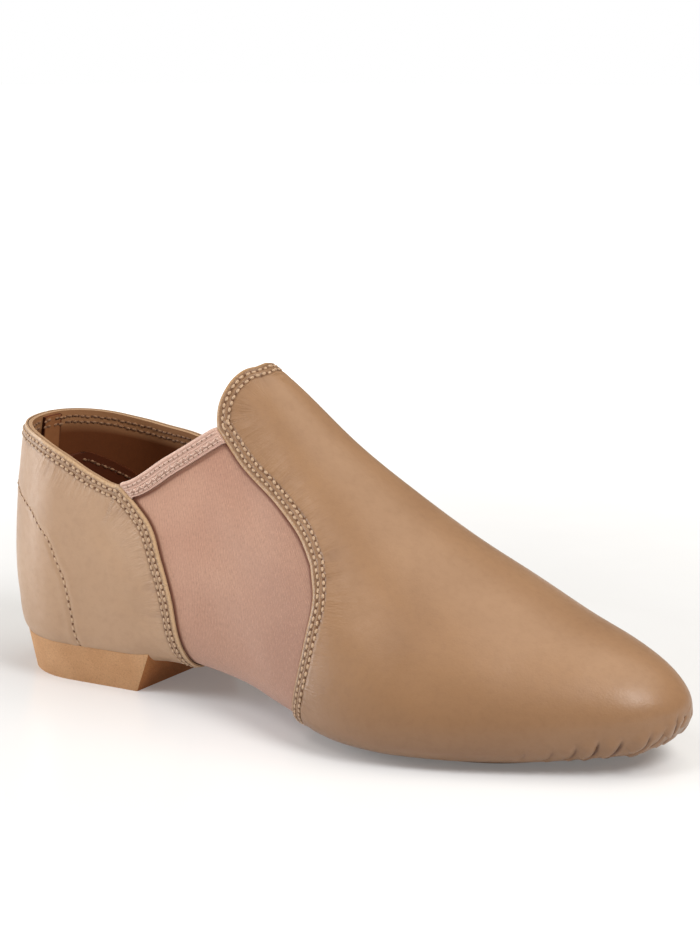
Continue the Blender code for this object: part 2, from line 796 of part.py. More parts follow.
def make_heel(finish):
    """The low heel: a block cupped under the seat with a breast that slants forward."""
    fan = distance_at_along(HALF_HEEL / BODY_LENGTH)
    total = distance_at_along((HEEL_LENGTH - COVER) / BODY_LENGTH)
    step = distance_at_along(QUARTER_EDGE[0].along) / QUARTER_COLUMNS
    stations = [step * k for k in range(math.floor(total / step))] + [total]
    quarter = {side: quarter_nodes(side) for side in (-1, 1)}
    top = []
    bottom = []
    for distance in stations:
        slant = max(0.0, distance - fan) / (total - fan) * HEEL_BREAST_SLANT
        position = (distance + slant) / step
        column = int(position)
        upper = []
        lower = []
        for side in (-1, 1):
            line = []
            for a, b in zip(quarter[side][column], quarter[side][column + 1]):
                line.append((mix(a[0], b[0], position - column), mix(a[1], b[1], position - column)))
            seat = seat_row(line, side)
            floor = floor_row(along_at_distance(distance), side, len(seat))
            upper += seat[::-1] if side < 0 else seat[1:]
            lower += floor[::-1] if side < 0 else floor[1:]
        top.append(upper)
        bottom.append(lower)
    return add_object("heel", close_slab(top, bottom, close_start=False), finish)


def centre_over_origin(shoe, pieces):
    """Moves the whole shoe so that its outer box stands centred over the origin."""
    bpy.context.view_layer.update()
    graph = bpy.context.evaluated_depsgraph_get()
    corners = [Vector(c) for piece in pieces for c in piece.evaluated_get(graph).bound_box]
    for axis in (0, 1):
        values = [c[axis] for c in corners]
        shoe.location[axis] = -(min(values) + max(values)) / 2


def main():
    for old in list(bpy.data.objects):
        bpy.data.objects.remove(old)
    shoe = bpy.data.objects.new("shoe", None)
    bpy.context.scene.collection.objects.link(shoe)
    leather = material("tan leather", (0.46, 0.29, 0.17), 0.45)
    stretch = material("stretch fabric", (0.52, 0.30, 0.23), 0.7)
    crepe = material("heel crepe", (0.53, 0.30, 0.14), 0.85)
    suede = material("sock suede", (0.33, 0.19, 0.11), 0.9)
    pieces = [
        make_body(stretch),
        make_vamp(leather),
        make_quarter(leather),
        make_binding("binding_outer", -1, stretch),
        make_binding("binding_inner", 1, stretch),
        make_sock(suede),
        make_pad(crepe),
        make_heel(crepe),
    ]
    for piece in pieces:
        piece.parent = shoe
    centre_over_origin(shoe, pieces)
    return pieces


main()
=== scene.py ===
# %% [markdown]
# # A slip-on jazz shoe
# The packed CAD part is the frame that this scene dresses. It gives every piece its place: the
# stretch body, the leather vamp and quarter, two elastic bindings, the sock, the forefoot sole and
# the heel. Soft leather and cloth get new, finer meshes here, because a faceted solid has no
# stitches, puckers or pleats.

# %% Load the frame
import json
import math

import bmesh
import bpy
import numpy as np
from mathutils import Matrix, Vector
from mathutils.bvhtree import BVHTree

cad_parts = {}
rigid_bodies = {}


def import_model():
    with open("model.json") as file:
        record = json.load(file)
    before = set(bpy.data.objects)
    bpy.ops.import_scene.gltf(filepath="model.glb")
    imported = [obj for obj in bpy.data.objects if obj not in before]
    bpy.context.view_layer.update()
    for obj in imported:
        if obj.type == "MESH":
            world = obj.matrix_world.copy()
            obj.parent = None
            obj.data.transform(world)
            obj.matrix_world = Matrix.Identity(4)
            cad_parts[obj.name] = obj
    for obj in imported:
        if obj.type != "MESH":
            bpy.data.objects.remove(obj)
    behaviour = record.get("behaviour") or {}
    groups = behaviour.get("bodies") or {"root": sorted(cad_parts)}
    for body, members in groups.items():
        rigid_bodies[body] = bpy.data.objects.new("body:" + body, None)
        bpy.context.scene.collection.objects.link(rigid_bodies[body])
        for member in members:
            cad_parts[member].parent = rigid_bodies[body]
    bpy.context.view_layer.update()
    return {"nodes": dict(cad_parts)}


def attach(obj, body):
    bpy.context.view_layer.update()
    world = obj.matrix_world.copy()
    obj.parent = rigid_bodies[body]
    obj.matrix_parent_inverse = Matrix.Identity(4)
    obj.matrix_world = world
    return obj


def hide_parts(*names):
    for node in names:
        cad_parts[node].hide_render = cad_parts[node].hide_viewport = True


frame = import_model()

print("pieces in the frame:", sorted(frame["nodes"]))

# %% [markdown]
# ## The last
# A shoe is built over a last, so one function of the last's sections gives every layer. Each row
# below is one section across the shoe, from heel to toe, in shares of the shoe's own sizes. These
# are the sizes of the CAD source, so that a finer mesh falls exactly on its coarse one.

# %% Sizes and sections
SHOE_LENGTH, BALL_WIDTH, HEEL_WIDTH = 0.243, 0.092, 0.0656
TONGUE_HEIGHT, BACK_HEIGHT = 0.108, 0.083
HEEL_HEIGHT, HEEL_LENGTH, HEEL_SLANT = 0.0108, 0.0605, 0.006
PAD_THICKNESS, TOE_SPRING = 0.0016, 0.0080
BODY_WALL, LEATHER, SOCK_THICKNESS = 0.0013, 0.0011, 0.0022
BINDING_THICKNESS, BINDING_DEPTH = 0.0009, 0.0052
CLEARANCE, BINDING_CLEARANCE = 0.0003, 0.0005
COVER = LEATHER + CLEARANCE
BODY_LENGTH = SHOE_LENGTH - 2 * COVER
HALF_BALL = BALL_WIDTH / 2 - COVER
HALF_HEEL = HEEL_WIDTH / 2 - COVER
TREAD = PAD_THICKNESS + COVER + CLEARANCE
SEAT = HEEL_HEIGHT + COVER + CLEARANCE
RISE = TONGUE_HEIGHT - COVER
CENTRING = np.array([-0.12152, 0.00327, 0.0])

# along, centre, outer, inner, seat, spring, girth, crown, top, base, flat
SECTIONS = np.array([
    (0.000, 0.000, 1.000, 1.000, 1.00, 0.00, 0.366, 1.407, 1.6, 2.4, 0.70),
    (0.036, 0.000, 1.000, 1.000, 1.00, 0.00, 0.366, 1.407, 1.6, 2.4, 0.70),
    (0.128, 0.000, 0.990, 0.980, 1.00, 0.00, 0.347, 1.370, 1.6, 2.4, 0.70),
    (0.223, 0.000, 0.950, 0.910, 0.97, 0.00, 0.319, 1.257, 1.6, 2.4, 0.66),
    (0.325, 0.011, 0.659, 0.601, 0.84, 0.00, 0.291, 1.090, 1.6, 2.3, 0.56),
    (0.416, 0.022, 0.715, 0.581, 0.51, 0.00, 0.253, 0.956, 1.6, 2.3, 0.52),
    (0.507, 0.034, 0.912, 0.660, 0.18, 0.00, 0.206, 0.794, 1.5, 2.4, 0.56),
    (0.599, 0.045, 1.095, 0.780, 0.00, 0.00, 0.155, 0.657, 1.5, 2.6, 0.66),
    (0.670, 0.056, 1.135, 0.861, 0.00, 0.00, 0.127, 0.560, 1.5, 2.7, 0.70),
    (0.751, 0.058, 1.022, 0.865, 0.00, 0.00, 0.117, 0.468, 1.6, 2.7, 0.72),
    (0.832, 0.054, 0.825, 0.753, 0.00, 0.06, 0.122, 0.381, 1.7, 2.6, 0.70),
    (0.903, 0.040, 0.610, 0.570, 0.00, 0.26, 0.136, 0.325, 1.8, 2.5, 0.62),
    (0.964, 0.022, 0.381, 0.327, 0.00, 0.55, 0.155, 0.265, 1.9, 2.3, 0.50),
    (0.988, 0.013, 0.215, 0.190, 0.00, 1.00, 0.166, 0.220, 2.0, 2.2, 0.40),
])
TIP_CENTRE, TIP_HEIGHT = 0.009, 0.170
HEEL_WIDTH_TO, BALL_WIDTH_FROM = 0.223, 0.325

# Collar: along, outer height, inner height. Edges of the leather: height, along.
COLLAR = np.array([(0.000, 1.000, 1.000), (0.040, 0.994, 0.978), (0.085, 0.974, 0.950),
                   (0.135, 0.928, 0.930), (0.185, 0.862, 0.918), (0.230, 0.826, 0.903),
                   (0.300, 0.945, 0.975)])
QUARTER_EDGE = np.array([(0.100, 0.336), (0.194, 0.328), (0.306, 0.320), (0.439, 0.299),
                         (0.533, 0.281), (0.586, 0.259), (0.640, 0.230)])
VAMP_EDGE = np.array([(0.040, 0.530), (0.146, 0.552), (0.320, 0.564), (0.416, 0.563),
                      (0.500, 0.546)])
INSTEP_EDGE = np.array([(0.500, 0.546), (0.555, 0.524), (0.640, 0.476), (0.736, 0.410),
                        (0.832, 0.364)])
TONGUE_EDGE = np.array([(0.832, 0.364), (0.863, 0.360), (0.905, 0.358), (0.945, 0.361),
                        (0.974, 0.366), (0.994, 0.374), (1.000, 0.384)])
PAD_FROM, PAD_TO, PAD_ON_FLAT, PAD_END_POWER = 0.520, 0.925, 0.98, 2.6
PAD_LEVEL_FROM, PAD_LEVEL_TO, PAD_LIFT, PAD_EDGE = 0.530, 0.790, 0.22, 0.0010
HEEL_REACH, HEEL_TAPER = 0.88, 0.97
SOCK_ON_FLAT, SOCK_TO, SOCK_ROUND_FROM = 0.95, 0.965, 0.86
FLAT_EDGE, WIDEST, RIDGE = 0.5, 1.0, 2.0
print("sections:", len(SECTIONS), "over", round(SHOE_LENGTH * 1000), "mm")

# %% [markdown]
# The table's rows are joined by smooth curves over the root of the distance to the toe tip, which
# keeps the toe round. A place on the shoe is then a pair: how far along it lies, and its level,
# from 0 under the foot through 0.5 at the edge of the flat and 1 at the widest line to 2 on the
# ridge. Sections fan out round the heel, so that the heel's back is round too.


# %% Smooth sections
def mix(a, b, share):
    """The value at a share of the way from a to b."""
    return a + (b - a) * share


def ease(share):
    """A share that starts and ends gently."""
    held = np.clip(share, 0.0, 1.0)
    return held * held * (3 - 2 * held)


def even(count):
    """Evenly spaced shares from 0 to 1."""
    return np.linspace(0.0, 1.0, count + 1)


def lengths_of(line):
    """The length run so far at each point of a line."""
    return np.append(0.0, np.cumsum(np.linalg.norm(np.diff(line, axis=0), axis=1)))


def smooth(places, rows, at):
    """Smooth values of a table's rows at any places."""
    at = np.clip(at, places[0], places[-1])
    index = np.clip(np.searchsorted(places, at), 1, len(places) - 1)
    step = np.diff(places)
    slope = np.diff(rows, axis=0) / step[:, None]
    lean = np.vstack([slope[:1], slope])
    before, after = step[:-1, None], step[1:, None]
    lean[1:-1] = (slope[:-1] * after + slope[1:] * before) / (before + after)
    h = step[index - 1][..., None]
    t = (at - places[index - 1])[..., None] / h
    held = rows[index - 1] * (2 * t**3 - 3 * t**2 + 1) + rows[index] * (3 * t**2 - 2 * t**3)
    return held + h * (lean[index - 1] * (t**3 - 2 * t**2 + t) + lean[index] * (t**3 - t**2))


def heel_turn(x):
    """How far round the heel a section is turned, up to a quarter turn where the sides begin."""
    turn = np.arccos(np.clip(1 - x / HALF_HEEL, -1, 1))
    return np.where(x < HALF_HEEL, turn, math.pi / 2)


def outline_distance(along):
    """Distance back from the toe tip along the shoe's plan outline."""
    x = along * BODY_LENGTH
    round_part = BODY_LENGTH - HALF_HEEL + (math.pi / 2 - heel_turn(x)) * HALF_HEEL
    return np.where(x >= HALF_HEEL, BODY_LENGTH - x, round_part)


def smooth_table():
    """The section table in metres, mirrored past both ends so that they come out round."""
    s = SECTIONS.T
    widening = ease((s[0] - HEEL_WIDTH_TO) / (BALL_WIDTH_FROM - HEEL_WIDTH_TO))
    half = mix(HALF_HEEL, HALF_BALL, widening)
    under = TREAD + s[4] * (SEAT - TREAD) + s[5] * TOE_SPRING
    girth = s[6] * RISE
    values = np.array([s[1] * half, s[2] * half, s[3] * half, girth - under, girth,
                       s[7] * RISE - girth, s[8], s[9], s[10]]).T
    distance = outline_distance(s[0])
    order = np.argsort(distance)
    distance, values = distance[order], values[order]
    tip = np.array([TIP_CENTRE * HALF_BALL, 0, 0, 0, TIP_HEIGHT * RISE, 0, *values[0, 6:]])
    turned = values[1::-1] * np.array([1, -1, -1, -1, 1, -1, 1, 1, 1])
    behind = np.sqrt(2 * distance[-1] - distance[[-2, -3]])
    places = np.concatenate([-np.sqrt(distance[1::-1]), [0.0], np.sqrt(distance), behind])
    return places, np.vstack([turned, tip, values, values[[-2, -3]]])


PLACES, SHAPES = smooth_table()


def shape_at(along):
    """Centre, outer, inner, depth, girth, height, top, base and flat of the sections there."""
    return smooth(PLACES, SHAPES, np.sqrt(np.maximum(outline_distance(along), 0.0)))


def half_width(shape, side):
    """The section's greatest reach on a side."""
    return np.where(np.less(side, 0), shape[..., 1], shape[..., 2])


def profile(shape, side, level):
    """Reach and height of a half section at some levels."""
    width = half_width(shape, side)
    depth, girth, tall, top, base, flat = (shape[..., k] for k in range(3, 9))
    angle = np.clip((level - FLAT_EDGE) / (WIDEST - FLAT_EDGE), 0, 1) * math.pi / 2
    corner = mix(flat, 1.0, np.sin(angle) ** (2 / base))
    share = np.clip(1 - (RIDGE - level) ** 2, 0, 1)
    high = np.sqrt(np.clip(1 - share**top, 0, 1))
    under = flat * np.clip(level / FLAT_EDGE, 0, 1)
    reach = width * np.where(level <= FLAT_EDGE, under, np.where(level <= WIDEST, corner, high))
    low = girth - depth * np.clip(np.cos(angle), 0, 1) ** (2 / base)
    return reach, np.where(level > WIDEST, girth + tall * share, low)


def placed(along, side, centre, reach, height):
    """Points at a reach from the centre line, fanned out round the heel."""
    x = along * BODY_LENGTH
    turn = heel_turn(x)
    px = np.where(x < HALF_HEEL, COVER + HALF_HEEL - reach * np.cos(turn), COVER + x)
    return np.stack([px, centre + side * reach * np.sin(turn), height], -1) + CENTRING


def face(along, level, side):
    """Points of the body's outer face."""
    along, level, side = np.broadcast_arrays(along, level, side)
    shape = shape_at(along)
    return placed(along, side, shape[..., 0], *profile(shape, side, level))


STEP_ALONG, STEP_UP, AT_TIP = 0.002, 0.01, 0.9995


def outward(along, level, side):
    """Directions away from the body's outer face."""
    along, level, side = np.broadcast_arrays(along, level, side)
    ahead = face(np.minimum(along + STEP_ALONG, 1.0), level, side)
    ahead = ahead - face(np.maximum(along - STEP_ALONG, 0.0), level, side)
    up = face(along, np.minimum(level + STEP_UP, RIDGE), side)
    up = up - face(along, np.maximum(level - STEP_UP, 0.0), side)
    n = np.cross(ahead, up) * -side[..., None]
    n[..., 1] = np.where(along < STEP_ALONG, 0.0, n[..., 1])
    n = np.where((along > AT_TIP)[..., None], np.array([1.0, 0.0, 0.0]), n)
    return n / np.maximum(np.linalg.norm(n, axis=-1, keepdims=True), 1e-12)


def surface(along, level, side, out=0.0):
    """Points at a distance out from the body's outer face."""
    return face(along, level, side) + outward(along, level, side) * np.asarray(out)[..., None]


print("toe tip at", face(1.0, 1.0, -1.0).round(4))


# %% [markdown]
# Leather edges are given as they look from the side, by height and length, so a few helpers turn
# heights, reaches and shares of the girth into levels.

# %% Levels on the last
def level_at_height(along, height):
    shape = shape_at(along)
    rise = np.clip((height - shape[..., 4]) / shape[..., 5], 0, 1)
    drop = np.clip((shape[..., 4] - height) / shape[..., 3], 0, 1)
    low = mix(FLAT_EDGE, WIDEST, np.arccos(drop ** (shape[..., 7] / 2)) / (math.pi / 2))
    return np.where(height >= shape[..., 4], RIDGE - np.sqrt(1 - rise), low)


def level_at_reach(along, side, reach):
    shape = shape_at(along)
    width = half_width(shape, side)
    flat = width * shape[..., 8]
    share = np.clip((reach - flat) / np.maximum(width - flat, 1e-9), 0, 1)
    corner = mix(FLAT_EDGE, WIDEST, np.arcsin(share ** (shape[..., 7] / 2)) / (math.pi / 2))
    return np.where(reach <= flat, FLAT_EDGE * reach / np.maximum(flat, 1e-9), corner)


def along_at_distance(distance):
    """Place at a distance from the heel's back along the plan outline."""
    bend = HALF_HEEL * math.pi / 2
    fan = HALF_HEEL * (1 - np.cos(np.minimum(distance, bend) / HALF_HEEL))
    return np.where(distance < bend, fan, HALF_HEEL + distance - bend) / BODY_LENGTH


def distance_at_along(along):
    return outline_distance(np.array(0.0)) - outline_distance(along)


def girth(along, side, low, high, steps=48):
    """Levels and lengths round a half section between two levels, one row for each place."""
    levels = low[..., None] + (high - low)[..., None] * even(steps)
    reach, height = profile(shape_at(along)[..., None, :], side, levels)
    lengths = np.cumsum(np.hypot(np.diff(reach), np.diff(height)), -1)
    return levels, np.concatenate([np.zeros_like(lengths[..., :1]), lengths], -1)


def level_at_share(along, side, low, high, share):
    along, low, high, share = np.broadcast_arrays(along, low, high, share)
    levels, lengths = girth(along, side, low, high)
    wanted = share * lengths[..., -1]
    k = np.clip((lengths < wanted[..., None]).sum(-1), 1, lengths.shape[-1] - 1)[..., None]
    a, b = (np.take_along_axis(lengths, i, -1)[..., 0] for i in (k - 1, k))
    la, lb = (np.take_along_axis(levels, i, -1)[..., 0] for i in (k - 1, k))
    return mix(la, lb, np.clip((wanted - a) / np.maximum(b - a, 1e-12), 0, 1))


def share_at_level(along, side, low, high, level):
    along, low, high, level = np.broadcast_arrays(along, low, high, level)
    _, lengths = girth(along, side, low, high)
    steps = lengths.shape[-1] - 1
    at = np.clip((level - low) / (high - low), 0, 1) * steps
    k = np.minimum(at.astype(int), steps - 1)[..., None]
    a, b = (np.take_along_axis(lengths, i, -1)[..., 0] for i in (k, k + 1))
    return mix(a, b, at - k[..., 0]) / lengths[..., -1]


def collar_level(along, side):
    """Level of the opening's edge behind the throat."""
    height, place = INSTEP_EDGE[-1]
    rows = np.vstack([COLLAR[:, 1:] * BACK_HEIGHT, [height * RISE] * 2])
    heights = smooth(np.append(COLLAR[:, 0], place), rows, along)
    return level_at_height(along, heights[..., 0 if side < 0 else 1])


def edge_nodes(edge, shares):
    """Places and levels of a leather edge at shares of its length as seen from the side."""
    points = edge * np.array([RISE, BODY_LENGTH])
    lengths = lengths_of(points)
    at = smooth(lengths, points, shares * lengths[-1])
    along = at[..., 1] / BODY_LENGTH
    return np.stack([along, level_at_height(along, at[..., 0])], -1)


def girth_nodes(edge, side, shares):
    """The same at shares of the edge's true length over the shoe's side."""
    fine = edge_nodes(edge, even(48))
    lengths = lengths_of(face(fine[:, 0], fine[:, 1], side))
    return smooth(lengths, fine, shares * lengths[-1])


print("collar level at the quarter's front:", collar_level(np.array([0.23]), -1).round(3))


# %% [markdown]
# ## Patches
# The upper is cut into patches as a maker cuts it: quarter, gore, instep and forefoot. A patch is a
# grid of places and levels whose first or last column is a leather edge, so the mesh's own lines
# run along the seams and the leather can end there cleanly.


# %% Grids of places and levels
SIDES = (-1, 1)


class Fineness:
    """How many columns and rows the patches get."""

    def __init__(self, quarter, gore, fore, under, lower, upper, tongue):
        self.quarter, self.gore, self.fore, self.under = quarter, gore, fore, under
        self.lower, self.upper, self.tongue = lower, upper, tongue
        self.wall = lower + upper


def crowded(count):
    """Shares that lie closer together at the start, round the sole's corner."""
    return even(count) ** 1.4


def with_under(f, walls):
    """Levels of whole columns: the rows under the foot, then those of the wall."""
    return np.hstack([np.tile(FLAT_EDGE * even(f.under)[:-1], (len(walls), 1)), walls])


def under_part(along, f):
    return np.array([(along, FLAT_EDGE * share) for share in even(f.under)])


def quarter_seam(side, f):
    wall = girth_nodes(QUARTER_EDGE, side, crowded(f.wall))
    rise = collar_level(wall[-1:, 0], side)[0] - wall[-1, 1]
    wall[:, 1] += rise * even(f.wall) ** 2
    return np.vstack([under_part(QUARTER_EDGE[0, 1], f), wall[1:]])


def vamp_seam(side, f):
    lower = girth_nodes(VAMP_EDGE, side, crowded(f.lower))
    upper = edge_nodes(INSTEP_EDGE, even(f.upper))
    return np.vstack([under_part(VAMP_EDGE[0, 1], f), lower[1:], upper[1:]])


def quarter_patch(side, f):
    seam = quarter_seam(side, f)
    wall = seam[f.under:]
    high = collar_level(wall[:, 0], side)
    ends = share_at_level(wall[:, 0], side, FLAT_EDGE, high, wall[:, 1])
    u = even(f.quarter)[:, None]
    along = along_at_distance(u * distance_at_along(seam[:, 0]))
    shares = mix(crowded(f.wall), ends, ease(u))
    high = collar_level(along[:, f.under:], side)
    walls = level_at_share(along[:, f.under:], side, FLAT_EDGE, high, shares)
    level = with_under(f, walls)
    level[-1] = seam[:, 1]
    return side, along, level


def gore_patch(side, f):
    back, front = quarter_seam(side, f), vamp_seam(side, f)
    u = even(f.gore)[:, None]
    along = mix(back[:, 0], front[:, 0], u)
    level = mix(back[:, 1], front[:, 1], u)
    sag = collar_level(along[:, -1], side) - level[:, -1]
    rows = np.clip((np.arange(len(back)) - f.under) / f.wall, 0, 1)
    return side, along, level + sag[:, None] * rows**2


def bend_column(f):
    """The line over the instep where the tongue ends and the forefoot begins."""
    along, low = edge_nodes(INSTEP_EDGE, np.array([0.0]))[0]
    place = np.full(f.tongue + 1, along)
    level = level_at_share(place, -1, low, RIDGE, even(f.tongue))
    level[-1] = RIDGE
    return np.stack([place, level], -1)


def instep_patch(side, f):
    edge = edge_nodes(INSTEP_EDGE, even(f.upper))[::-1]
    back = edge_nodes(TONGUE_EDGE, even(f.tongue))
    back[-1, 1] = RIDGE
    front = bend_column(f)
    u = ((edge[:, 0] - edge[0, 0]) / (edge[-1, 0] - edge[0, 0]))[:, None, None]
    v = even(f.tongue)[None, :, None]
    top = mix(back[-1], front[-1], u)
    corners = mix(mix(edge[0], edge[-1], u), top, v)
    both = mix(edge[:, None, :], top, v) + mix(back[None], front[None], u) - corners
    return side, both[..., 0], both[..., 1]


def forefoot_patch(side, f):
    start = np.vstack([vamp_seam(side, f)[: f.under + f.lower + 1], bend_column(f)[1:]])
    wall = start[f.under:]
    first = share_at_level(wall[:, 0], side, FLAT_EDGE, RIDGE, wall[:, 1])
    forward = 1 - (1 - even(f.fore)[:, None]) ** 1.7
    along = mix(start[:, 0], 1.0, forward)
    shares = mix(first, crowded(len(first) - 1), ease(forward / 0.55))
    walls = level_at_share(along[:, f.under:], side, FLAT_EDGE, RIDGE, shares)
    level = with_under(f, walls)
    level[0], level[:, -1] = start[:, 1], RIDGE
    return side, along, level


FINE = Fineness(quarter=120, gore=40, fore=215, under=5, lower=34, upper=38, tongue=40)
COARSE = Fineness(quarter=50, gore=44, fore=46, under=2, lower=24, upper=26, tongue=16)
print("rows up the seam:", FINE.under + FINE.wall + 1)


# %% [markdown]
# ## From patches to a wall
# The patches of a piece are joined where their edges meet. The sheet is then given two faces, an
# inner one that lies on the last and an outer one that carries the relief, and its open edges are
# closed with a rim. A Solidify modifier would copy the relief to both faces, so the wall is made
# here face by face, and the rim gets its own material, because a cut leather edge is paler.


# %% Sheets and walls
class Sheet:
    """Patches joined into one sheet, with each point's place, level and side."""

    def __init__(self, patches):
        bm = bmesh.new()
        mark = bm.verts.layers.int.new("node")
        nodes = []
        for side, along, level in patches:
            columns, rows = along.shape
            points = face(along, level, side)
            start = len(nodes)
            nodes += [(a, b, side) for a, b in zip(along.ravel(), level.ravel())]
            made = [bm.verts.new(p) for p in points.reshape(-1, 3)]
            for k, v in enumerate(made):
                v[mark] = start + k
            for i in range(columns - 1):
                for j in range(rows - 1):
                    k = i * rows + j
                    bm.faces.new((made[k], made[k + rows], made[k + rows + 1], made[k + 1]))
        bmesh.ops.remove_doubles(bm, verts=bm.verts, dist=0.00002)
        bmesh.ops.dissolve_degenerate(bm, edges=bm.edges, dist=0.00001)
        bm.verts.index_update()
        kept = np.array(nodes)[[v[mark] for v in bm.verts]]
        self.along, self.level, self.side = kept.T
        self.points = face(self.along, self.level, self.side)
        self.normals = outward(self.along, self.level, self.side)
        bm.normal_update()
        self.faces = []
        for f in bm.faces:
            ring = [v.index for v in f.verts]
            facing = f.normal.dot(Vector(self.normals[ring].mean(0)))
            self.faces.append(ring if facing > 0 else ring[::-1])
        bm.free()

    def at(self, out):
        """The sheet's points at a distance out, which may differ from point to point."""
        return self.points + self.normals * np.broadcast_to(out, self.along.shape)[:, None]


def add(made):
    """Puts an object into the scene."""
    bpy.context.scene.collection.objects.link(made)
    return made


def new_piece(name, points, faces, finishes, indices=None):
    """A mesh object at the origin with its finishes."""
    mesh = bpy.data.meshes.new(name)
    mesh.from_pydata([tuple(p) for p in points], [], faces)
    for finish in finishes:
        mesh.materials.append(finish)
    if indices is not None:
        mesh.polygons.foreach_set("material_index", indices)
    mesh.update()
    mesh.shade_smooth()
    piece = add(bpy.data.objects.new(name, mesh))
    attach(piece, "root")
    return piece


def wall(name, sheet, inner, outer, finishes, sharp=55):
    """Two faces and a rim: finishes are those of the outer face, the inner face and the rim."""
    count = len(sheet.along)
    points = np.vstack([sheet.at(outer), sheet.at(inner)])
    pairs = (pair for ring in sheet.faces for pair in zip(ring, ring[1:] + ring[:1]))
    seen = dict.fromkeys(pairs)
    rims = [(b, a, a + count, b + count) for a, b in seen if (b, a) not in seen]
    lining = [[k + count for k in ring[::-1]] for ring in sheet.faces]
    faces = sheet.faces + lining + rims
    indices = [0] * len(sheet.faces) + [1] * len(lining) + [2] * len(rims)
    piece = new_piece(name, points, faces, finishes, indices)
    piece.data.set_sharp_from_angle(angle=math.radians(sharp))
    return piece


def store(piece, **numbers):
    """Keeps numbers for each point, for the materials to read; both faces of a wall share them."""
    for name, values in numbers.items():
        values = np.asarray(values, np.float32)
        made = piece.data.attributes.new(name, "FLOAT", "POINT")
        made.data.foreach_set("value", np.tile(values, len(piece.data.vertices) // len(values)))


def triangles(piece):
    return sum(len(p.vertices) - 2 for p in piece.data.polygons)


# %% [markdown]
# ## Relief
# What makes leather look sewn is small: the thread pulls a groove, the leather swells between two
# rows and puckers beside them, and it gathers in pleats where it is drawn round the toe. Each of
# these is a soft trough or ridge whose depth fades with the distance from a line on the shoe.


# %% Distances and troughs
def nearest(points, line):
    """Distance of each point to a line, how far along the line that is, and where."""
    run = lengths_of(line)
    best = [((line**2).sum(1) - 2 * part @ line.T).argmin(1)
            for part in np.array_split(points, len(points) // 4000 + 1)]
    best = np.concatenate(best)
    distance, where = np.full(len(points), np.inf), np.zeros(len(points))
    spot = points.copy()
    for shift in (-1, 0):
        a = np.clip(best + shift, 0, len(line) - 2)
        edge = line[a + 1] - line[a]
        t = ((points - line[a]) * edge).sum(1) / np.maximum((edge**2).sum(1), 1e-16)
        t = np.clip(t, 0, 1)
        on_edge = line[a] + edge * t[:, None]
        gap = np.linalg.norm(points - on_edge, axis=1)
        closer = gap < distance
        distance = np.where(closer, gap, distance)
        where = np.where(closer, run[a] + t * (run[a + 1] - run[a]), where)
        spot = np.where(closer[:, None], on_edge, spot)
    return distance, where, spot


def hump(distance, at, width):
    """A soft bell round a distance."""
    return np.exp(-(((distance - at) / width) ** 2))


def waver(place, step, seed):
    """A smooth line of chance values between -1 and 1, a new one at each step."""
    values = np.random.default_rng(seed).uniform(-1, 1, 4096)
    t = np.abs(place) / step
    k = t.astype(int) % 4000
    return mix(values[k], values[k + 1], ease(t - np.floor(t)))


# Each form beside a sewn edge: its depth or height and its width, then where needed its pitch
# along the seam and how far beyond the last row it lies.
ROUND_EDGE, GROOVE, SWELLING = (0.00055, 0.0013), (0.00026, 0.00050), (0.00016, 0.00055)
PUCKER, WRINKLE = (0.00022, 0.0014, 0.0016, 0.0010), (0.00030, 0.0040, 0.0035, 0.0035)


def sewn(distance, place, rows, seed):
    """Relief beside a sewn edge: rounded edge, a groove under each row, swelling and puckers."""
    relief = -ROUND_EDGE[0] * np.clip(1 - distance / ROUND_EDGE[1], 0, 1) ** 2
    for row in rows:
        relief -= GROOVE[0] * hump(distance, row, GROOVE[1])
    for a, b in zip(rows, rows[1:]):
        relief += SWELLING[0] * hump(distance, (a + b) / 2, SWELLING[1])
    for (depth, width, pitch, beyond), more, rarer in ((PUCKER, 0, 0.0), (WRINKLE, 1, 0.25)):
        gathered = np.clip(waver(place, pitch, seed + more) - rarer, 0, 1)
        relief -= depth * gathered * hump(distance, rows[-1] + beyond, width)
    return relief


def trough(points, line, depth, width):
    """A crease along a line, with a low ridge on both sides, fading at its ends."""
    distance, place, _ = nearest(points, line)
    fade = np.sin(np.clip(place / lengths_of(line)[-1], 0, 1) * math.pi) ** 0.5
    return depth * fade * (0.35 * hump(distance, 2.1 * width, width) - hump(distance, 0, width))


def pleat(points, line, depth, width, lap):
    """A narrow fold along a line: a sharp trough with the leather swelling on its heel side."""
    distance, place, spot = nearest(points, line)
    share = place / lengths_of(line)[-1]
    behind = 0.5 - 0.5 * np.tanh((points - spot)[:, 0] / 0.0006)
    swollen = 2.1 * lap * behind * hump(distance, 0.0024, 0.0021)
    sunken = 0.5 * lap * (1 - behind) * hump(distance, 0.0016, 0.0015)
    fade = ease(share * 2.6) * ease((1 - share) * 8.0)
    return fade * (swollen - sunken - depth * hump(distance, 0, width * 0.70))


print("a hump fades to", round(float(hump(0.002, 0, 0.001)), 3), "at twice its width")


# %% Lines on the shoe
def line_on(side, nodes, out):
    """A line over the last through places and levels."""
    return surface(nodes[:, 0], nodes[:, 1], side, out)


def drawn(points, count):
    """Smooth places through a few points given by place along and height in metres."""
    points = np.asarray(points, float)
    run = lengths_of(points * [BODY_LENGTH, 1])
    return smooth(run, points, even(count) * run[-1])


def height_line(side, points, count, out):
    along, height = drawn(points, count).T
    return line_on(side, np.stack([along, level_at_height(along, height)], -1), out)


def creases(points, table, count, out):
    """Relief of the creases in a table."""
    relief = np.zeros(len(points))
    for side, start, end, depth, width in table:
        relief += trough(points, height_line(side, [start, end], count, out), depth, width)
    return relief


